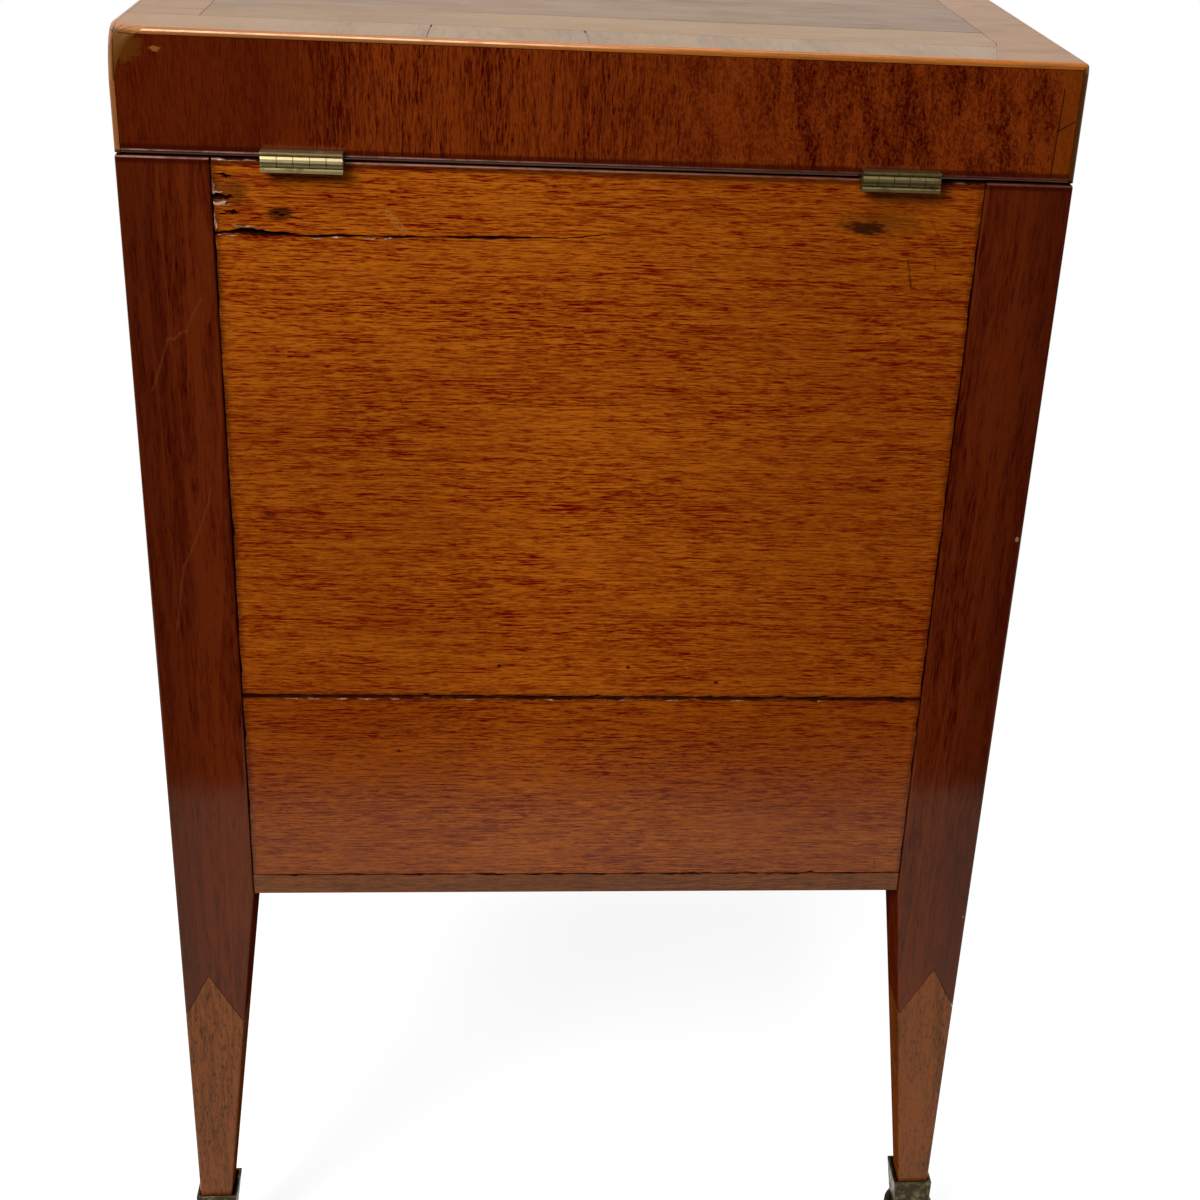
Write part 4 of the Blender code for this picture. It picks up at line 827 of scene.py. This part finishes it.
# The long crack in the upper board: x, z, width
CRACK = (
    (0.1955, 0.6661, 0.0018), (0.1845, 0.6659, 0.0016), (0.1780, 0.6668, 0.0010),
    (0.1728, 0.6677, 0.0024), (0.1666, 0.6670, 0.0030), (0.1600, 0.6664, 0.0026),
    (0.1523, 0.6667, 0.0014), (0.1440, 0.6660, 0.0009), (0.1371, 0.6657, 0.0014),
    (0.1300, 0.6660, 0.0011), (0.1217, 0.6664, 0.0014), (0.1120, 0.6664, 0.0008),
    (0.1000, 0.6666, 0.0013), (0.0900, 0.6668, 0.0010), (0.0700, 0.6675, 0.0011),
    (0.0550, 0.6677, 0.0016), (0.0400, 0.6681, 0.0008), (0.0209, 0.6682, 0.0006),
    (0.0127, 0.6688, 0.0007), (-0.0123, 0.6720, 0.0002),
)
# Bruises and holes round its broken corner: x, z, half width, half height
PALE_PITS = (
    (0.1845, 0.6880, 0.0011, 0.0030), (0.1838, 0.6858, 0.0030, 0.0009), (0.1822, 0.6806, 0.0040, 0.0011),
    (0.1790, 0.6800, 0.0022, 0.0007), (0.1846, 0.6735, 0.0009, 0.0036), (0.1842, 0.6700, 0.0009, 0.0020),
    (0.1790, 0.6652, 0.0040, 0.0005), (0.1710, 0.6700, 0.0050, 0.0005), (0.1365, 0.6648, 0.0030, 0.0006),
    (0.1280, 0.6656, 0.0022, 0.0005), (0.1120, 0.6655, 0.0030, 0.0006), (0.1040, 0.6657, 0.0032, 0.0006),
)
DARK_PITS = (
    (0.1800, 0.6943, 0.0034, 0.0007), (0.1776, 0.6935, 0.0022, 0.0009), (0.1822, 0.6838, 0.0042, 0.0014),
    (0.1788, 0.6833, 0.0036, 0.0009), (0.1764, 0.6842, 0.0016, 0.0006), (0.1775, 0.6768, 0.0030, 0.0006),
    (0.1755, 0.6762, 0.0018, 0.0010), (0.1802, 0.6754, 0.0018, 0.0005), (0.1556, 0.6766, 0.0018, 0.0005),
    (0.1528, 0.6756, 0.0022, 0.0005),
)
# Places (x) of the pale chips along the lower board's top edge
SEAM_CHIPS = (0.1585, 0.147, 0.132, 0.119, 0.104, 0.066, 0.021, -0.008, -0.021, -0.046, -0.082, -0.128)


def build_back_boards():
    """The back's boards with their damage: crack, pits, open joint and chipped edges."""
    draw = random.Random(18)
    half = 0.1946
    edge = 0.1849
    # The cut faces take the split wood darkened with painted shade
    upper_cuts = [
        edge_cut(draw, (-half, half), SEAM_TOP, 1, 0.0009, SPLIT_AND_SHADE_WOOD, 0.06),
        edge_cut(draw, (-0.1852, -0.1615), CASE_TOP, -1, 0.0026, SPLIT_AND_SHADE_WOOD, 0.0),
        edge_cut(draw, (0.1600, 0.1832), CASE_TOP, -1, 0.0021, SPLIT_AND_SHADE_WOOD, 0.0),
        edge_cut(draw, (SEAM_TOP, CASE_TOP), edge, -1, 0.0007, SPLIT_AND_SHADE_WOOD, 0.1, 0.004, True),
        edge_cut(draw, (SEAM_TOP, CASE_TOP), -edge, 1, 0.0014, SPLIT_AND_SHADE_WOOD, 0.0, 0.004, True),
    ]
    for pits, depth, material in ((PALE_PITS, 0.0010, RAW_PALE), (DARK_PITS, 0.0030, SPLIT_AND_SHADE_WOOD)):
        for x, z, wide, high in pits:
            upper_cuts.append(pit_cut(draw, (x, z), (wide, high), depth, material))
    upper_cuts.append(split_cut(CRACK, draw, 0.006, SPLIT_AND_SHADE_WOOD))
    carved("back_upper_panel", "back_upper_board", upper_cuts, "case")
    lower_cuts = [
        edge_cut(draw, (-half, half), SEAM_LOW, -1, 0.0009, SPLIT_AND_SHADE_WOOD, 0.1),
        edge_cut(draw, (-half, half), LOWER_LINE, 1, 0.0010, SPLIT_AND_SHADE_WOOD, 0.03),
        edge_cut(draw, (LOWER_LINE, SEAM_LOW), edge, -1, 0.0006, SPLIT_AND_SHADE_WOOD, 0.1, 0.004, True),
        edge_cut(draw, (LOWER_LINE, SEAM_LOW), -edge, 1, 0.0007, SPLIT_AND_SHADE_WOOD, 0.1, 0.004, True),
    ]
    for x in SEAM_CHIPS:
        size = (draw.uniform(0.002, 0.005), draw.uniform(0.0003, 0.0005))
        lower_cuts.append(pit_cut(draw, (x, SEAM_LOW - 0.0011), size, 0.0008, RAW_PALE))
    carved("back_lower_panel", "back_lower_board", lower_cuts, "case")
    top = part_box("bottom_board")[1].z
    bottom_cuts = [edge_cut(draw, (-half, half), top, -1, 0.0005, SPLIT_AND_SHADE_WOOD)]
    carved("bottom_panel", "bottom_board", bottom_cuts, "case")


def veneer(name, outline, material, seed):
    """A sheet of veneer on the lid's top, its (x, y) outline in millimetres."""
    draw = random.Random(seed)
    points = []
    for (x0, y0), (x1, y1) in zip(outline, outline[1:] + outline[:1]):
        length = math.hypot(x1 - x0, y1 - y0)
        pieces = max(1, round(length / 12))
        for i in range(pieces):
            stray = draw.uniform(-0.05, 0.05) if i else 0.0
            x = x0 + (x1 - x0) * i / pieces - stray * (y1 - y0) / length
            y = y0 + (y1 - y0) * i / pieces + stray * (x1 - x0) / length
            points.append((x * MM, y * MM))
    low, high = VENEER_LOW + 0.00002, VENEER_TOP - 0.00002
    builder = loft([[(x, y, low) for x, y in points], [(x, y, high) for x, y in points]])
    piece = add_piece(name, builder, [material], "lid")
    piece["grain_seed"] = float(seed)
    return piece


def build_lid_top():
    """Veneers: a field in crossbanded borders, whose old joints and cracks are open; all in millimetres."""
    joint, crack = 0.15, 0.4
    x = (LID_HALF_X - STRING_SIZE) / MM - joint
    y = (LID_HALF_Y - STRING_SIZE) / MM - joint
    left, right, back, front = 192.0, -194.0, 184.5, -185.5
    kink, elbow, corner, mitre = 174.5, -191.5, -184.0, 214.5
    field = [
        (left - joint, front + joint), (left - joint, back - joint), (elbow + joint, back - joint),
        (right + joint, kink), (right + joint, 143.6), (60, 142.9), (92, 142.5), (60, 142.4),
        (right + joint, 142.7), (right + joint, front + joint),
    ]
    veneer("lid_field_veneer", field, FIELD_WOOD, 1)
    left_band = [(left + joint, -y), (x, -y), (x, back - joint), (left + joint, back - joint)]
    veneer("lid_band_left_veneer", left_band, BAND_WOOD_X, 2)
    right_band = [
        (-x, -y), (right - joint, -y), (right - joint, kink),
        (corner - joint, mitre), (corner - joint, y), (-x, y),
    ]
    veneer("lid_band_right_veneer", right_band, BAND_WOOD_X, 3)
    inner = back + joint
    back_bands = (
        [(x, y), (x, inner), (83.4 + crack, inner), (84 + crack, y)],
        [(84 - crack, y), (83.4 - crack, inner), (10.4 + crack, inner), (10 + crack, y)],
        [
            (10 - crack, y), (10.4 - crack, inner), (elbow + joint, inner),
            (corner + joint, mitre), (corner + joint, y),
        ],
    )
    bands = []
    for number, outline in enumerate(back_bands, 1):
        bands.append(veneer(f"lid_band_back_veneer_{number}", outline, BAND_WOOD_Y, 10 + number))
    inner = front - joint
    cuts = [left, 60.0, -71.0, right]
    for number, (start, end) in enumerate(zip(cuts, cuts[1:]), 1):
        start, end = start - joint, end + joint
        outline = [(start, -y), (start, inner), (end, inner), (end, -y)]
        veneer(f"lid_band_front_veneer_{number}", outline, BAND_WOOD_Y, 20 + number)
    return bands[0]


def build_hinge_fillets():
    """Brass that closes the slits between the hinges' knuckles and stop bars, clear of what turns."""
    knuckle, bar = 0.0036, 0.00375
    steps = 8
    last = math.radians(53)
    for side in ("left", "right"):
        low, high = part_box(f"hinge_{side}_pin")
        axis = (low + high) / 2
        for body, flip in (("case", -1), ("lid", 1)):
            outline = [(0.0, bar)]
            for i in range(steps + 1):
                angle = math.pi / 2 + (last - math.pi / 2) * i / steps
                outline.append((knuckle * math.cos(angle), knuckle * math.sin(angle)))
            outline.append((bar / math.tan(last), bar))
            ends = []
            for x in (low.x, high.x):
                ends.append([(x, axis.y + out, axis.z + flip * up) for out, up in outline])
            add_piece(f"hinge_{side}_{body}_fillet", loft(ends), [DULL_BRASS], body)


build_back_boards()
build_worn_lid(build_lid_top())
build_hinge_fillets()


# Floor, light and camera

# Brightness of the room, and of its side behind the camera
ROOM_LEVEL = 0.66
DIM_LEVEL = 0.01
FLOOR_END = 0.77
FLOOR_COLOUR = (0.43, 0.36, 0.25)
SHADOW_GREY = (0.25, 0.25, 0.25)
WHITE = (1.0, 1.0, 1.0)

# The photograph's camera, fitted to the case's edges: size, focal length and centre in pixels, place, turns
PHOTO_PIXELS = 1200
FOCAL_PIXELS = 1793.8
PHOTO_CENTRE = (677.7, 557.1)
CAMERA_PLACE = Vector((0.0429, 0.2225 + 0.8492, 0.7601 + 0.1432))
CAMERA_TURNS = ((3.25, "Z"), (25.36, "X"), (-5.9, "Y"))
SENSOR_WIDTH = 36.0


def empty_nodes(holder):
    """The cleared node tree of a world or material."""
    holder.use_nodes = True
    holder.node_tree.nodes.clear()
    return Nodes(holder.node_tree)


def white_world():
    """A white background, to the camera and in gloss; a dim side of the studio behind the camera."""
    world = bpy.data.worlds.new("studio")
    bpy.context.scene.world = world
    nodes = empty_nodes(world)
    path = nodes.node("LightPath").outputs
    way = nodes.parts(nodes.node("TexCoord").outputs["Generated"])
    behind = nodes.step(way["Y"], 0.05, 0.5)
    dim = nodes.math("MULTIPLY", behind, nodes.step(way["Z"], 0.45, 0.1))
    in_gloss = nodes.math("MAXIMUM", path["Is Glossy Ray"], path["Is Transmission Ray"])
    lit = nodes.change(dim, nodes.change(in_gloss, ROOM_LEVEL, 1.0), DIM_LEVEL)
    level = nodes.math("MAXIMUM", lit, path["Is Camera Ray"])
    white = nodes.node("Background", {"Color": WHITE, "Strength": level}).outputs[0]
    nodes.node("OutputWorld", {0: white})


def pale_floor():
    """A pale sheet under the object that ends before the camera; away from the object it is plain white."""
    builder = bmesh.new()
    corners = [(-3.0, -3.5), (3.0, -3.5), (3.0, FLOOR_END), (-3.0, FLOOR_END)]
    builder.faces.new([builder.verts.new((x, y, 0.0)) for x, y in corners])
    mesh = bpy.data.meshes.new("floor")
    builder.to_mesh(mesh)
    builder.free()
    floor = bpy.data.objects.new("floor", mesh)
    bpy.context.scene.collection.objects.link(floor)
    material = bpy.data.materials.new("pale_floor")
    nodes = empty_nodes(material)
    sheet = nodes.node("BsdfDiffuse", {"Color": FLOOR_COLOUR}).outputs[0]
    shadow = nodes.node("BsdfDiffuse", {"Color": SHADOW_GREY}).outputs[0]
    glow = nodes.node("Emission", {"Strength": 0.82}).outputs[0]
    near = nodes.node("AddShader", {0: shadow, 1: glow}).outputs[0]
    far = nodes.node("Emission", {"Strength": 1.0}).outputs[0]
    distance = nodes.vector("LENGTH", nodes.node("TexCoord").outputs["Object"])
    seen = nodes.node("MixShader", {0: nodes.step(distance, 0.45, 0.85), 1: near, 2: far}).outputs[0]
    path = nodes.node("LightPath").outputs
    rays = [path[f"Is {kind} Ray"] for kind in ("Camera", "Glossy", "Transmission")]
    looked_at = nodes.math("MAXIMUM", *rays)
    both = nodes.node("MixShader", {0: looked_at, 1: sheet, 2: seen}).outputs[0]
    nodes.node("OutputMaterial", {0: both})
    mesh.materials.append(material)


def area_lamp(name, place, target, size, power):
    lamp = bpy.data.lights.new(name, "AREA")
    lamp.shape = "DISK"
    lamp.size = size
    lamp.energy = power
    holder = bpy.data.objects.new(name, lamp)
    holder.location = place
    holder.rotation_euler = (Vector(target) - Vector(place)).to_track_quat("-Z", "Y").to_euler()
    bpy.context.scene.collection.objects.link(holder)


def photo_camera():
    """The photograph's view; it was fitted with the back facing -Y, so it is turned half round."""
    turn = Matrix.Identity(3)
    for degrees, axis in CAMERA_TURNS:
        turn = turn @ Matrix.Rotation(math.radians(degrees), 3, axis)
    axes = turn @ Matrix(((1, 0, 0), (0, 0, -1), (0, 1, 0)))
    half_turn = Matrix(((-1, 0, 0), (0, -1, 0), (0, 0, 1)))
    right, down, ahead = (half_turn @ Vector(row) for row in axes)
    camera_data = bpy.data.cameras.new("photo")
    camera_data.sensor_width = SENSOR_WIDTH
    camera_data.lens = FOCAL_PIXELS / PHOTO_PIXELS * SENSOR_WIDTH
    camera_data.shift_x = -(PHOTO_CENTRE[0] - PHOTO_PIXELS / 2) / PHOTO_PIXELS
    camera_data.shift_y = (PHOTO_CENTRE[1] - PHOTO_PIXELS / 2) / PHOTO_PIXELS
    camera_data.clip_start = 0.05
    camera_data.clip_end = 50.0
    camera = bpy.data.objects.new("photo", camera_data)
    facing = Matrix((right, -down, -ahead)).transposed().to_4x4()
    camera.matrix_world = Matrix.Translation(CAMERA_PLACE) @ facing
    bpy.context.scene.collection.objects.link(camera)
    bpy.context.scene.camera = camera


white_world()
pale_floor()
area_lamp("key", (1.3, 1.8, 2.1), (0, 0.1, 0.45), 1.2, 68)
area_lamp("over", (0.0, -0.2, 2.4), (0, 0, 0.4), 1.4, 32)
photo_camera()
bpy.context.scene.view_settings.view_transform = "Standard"
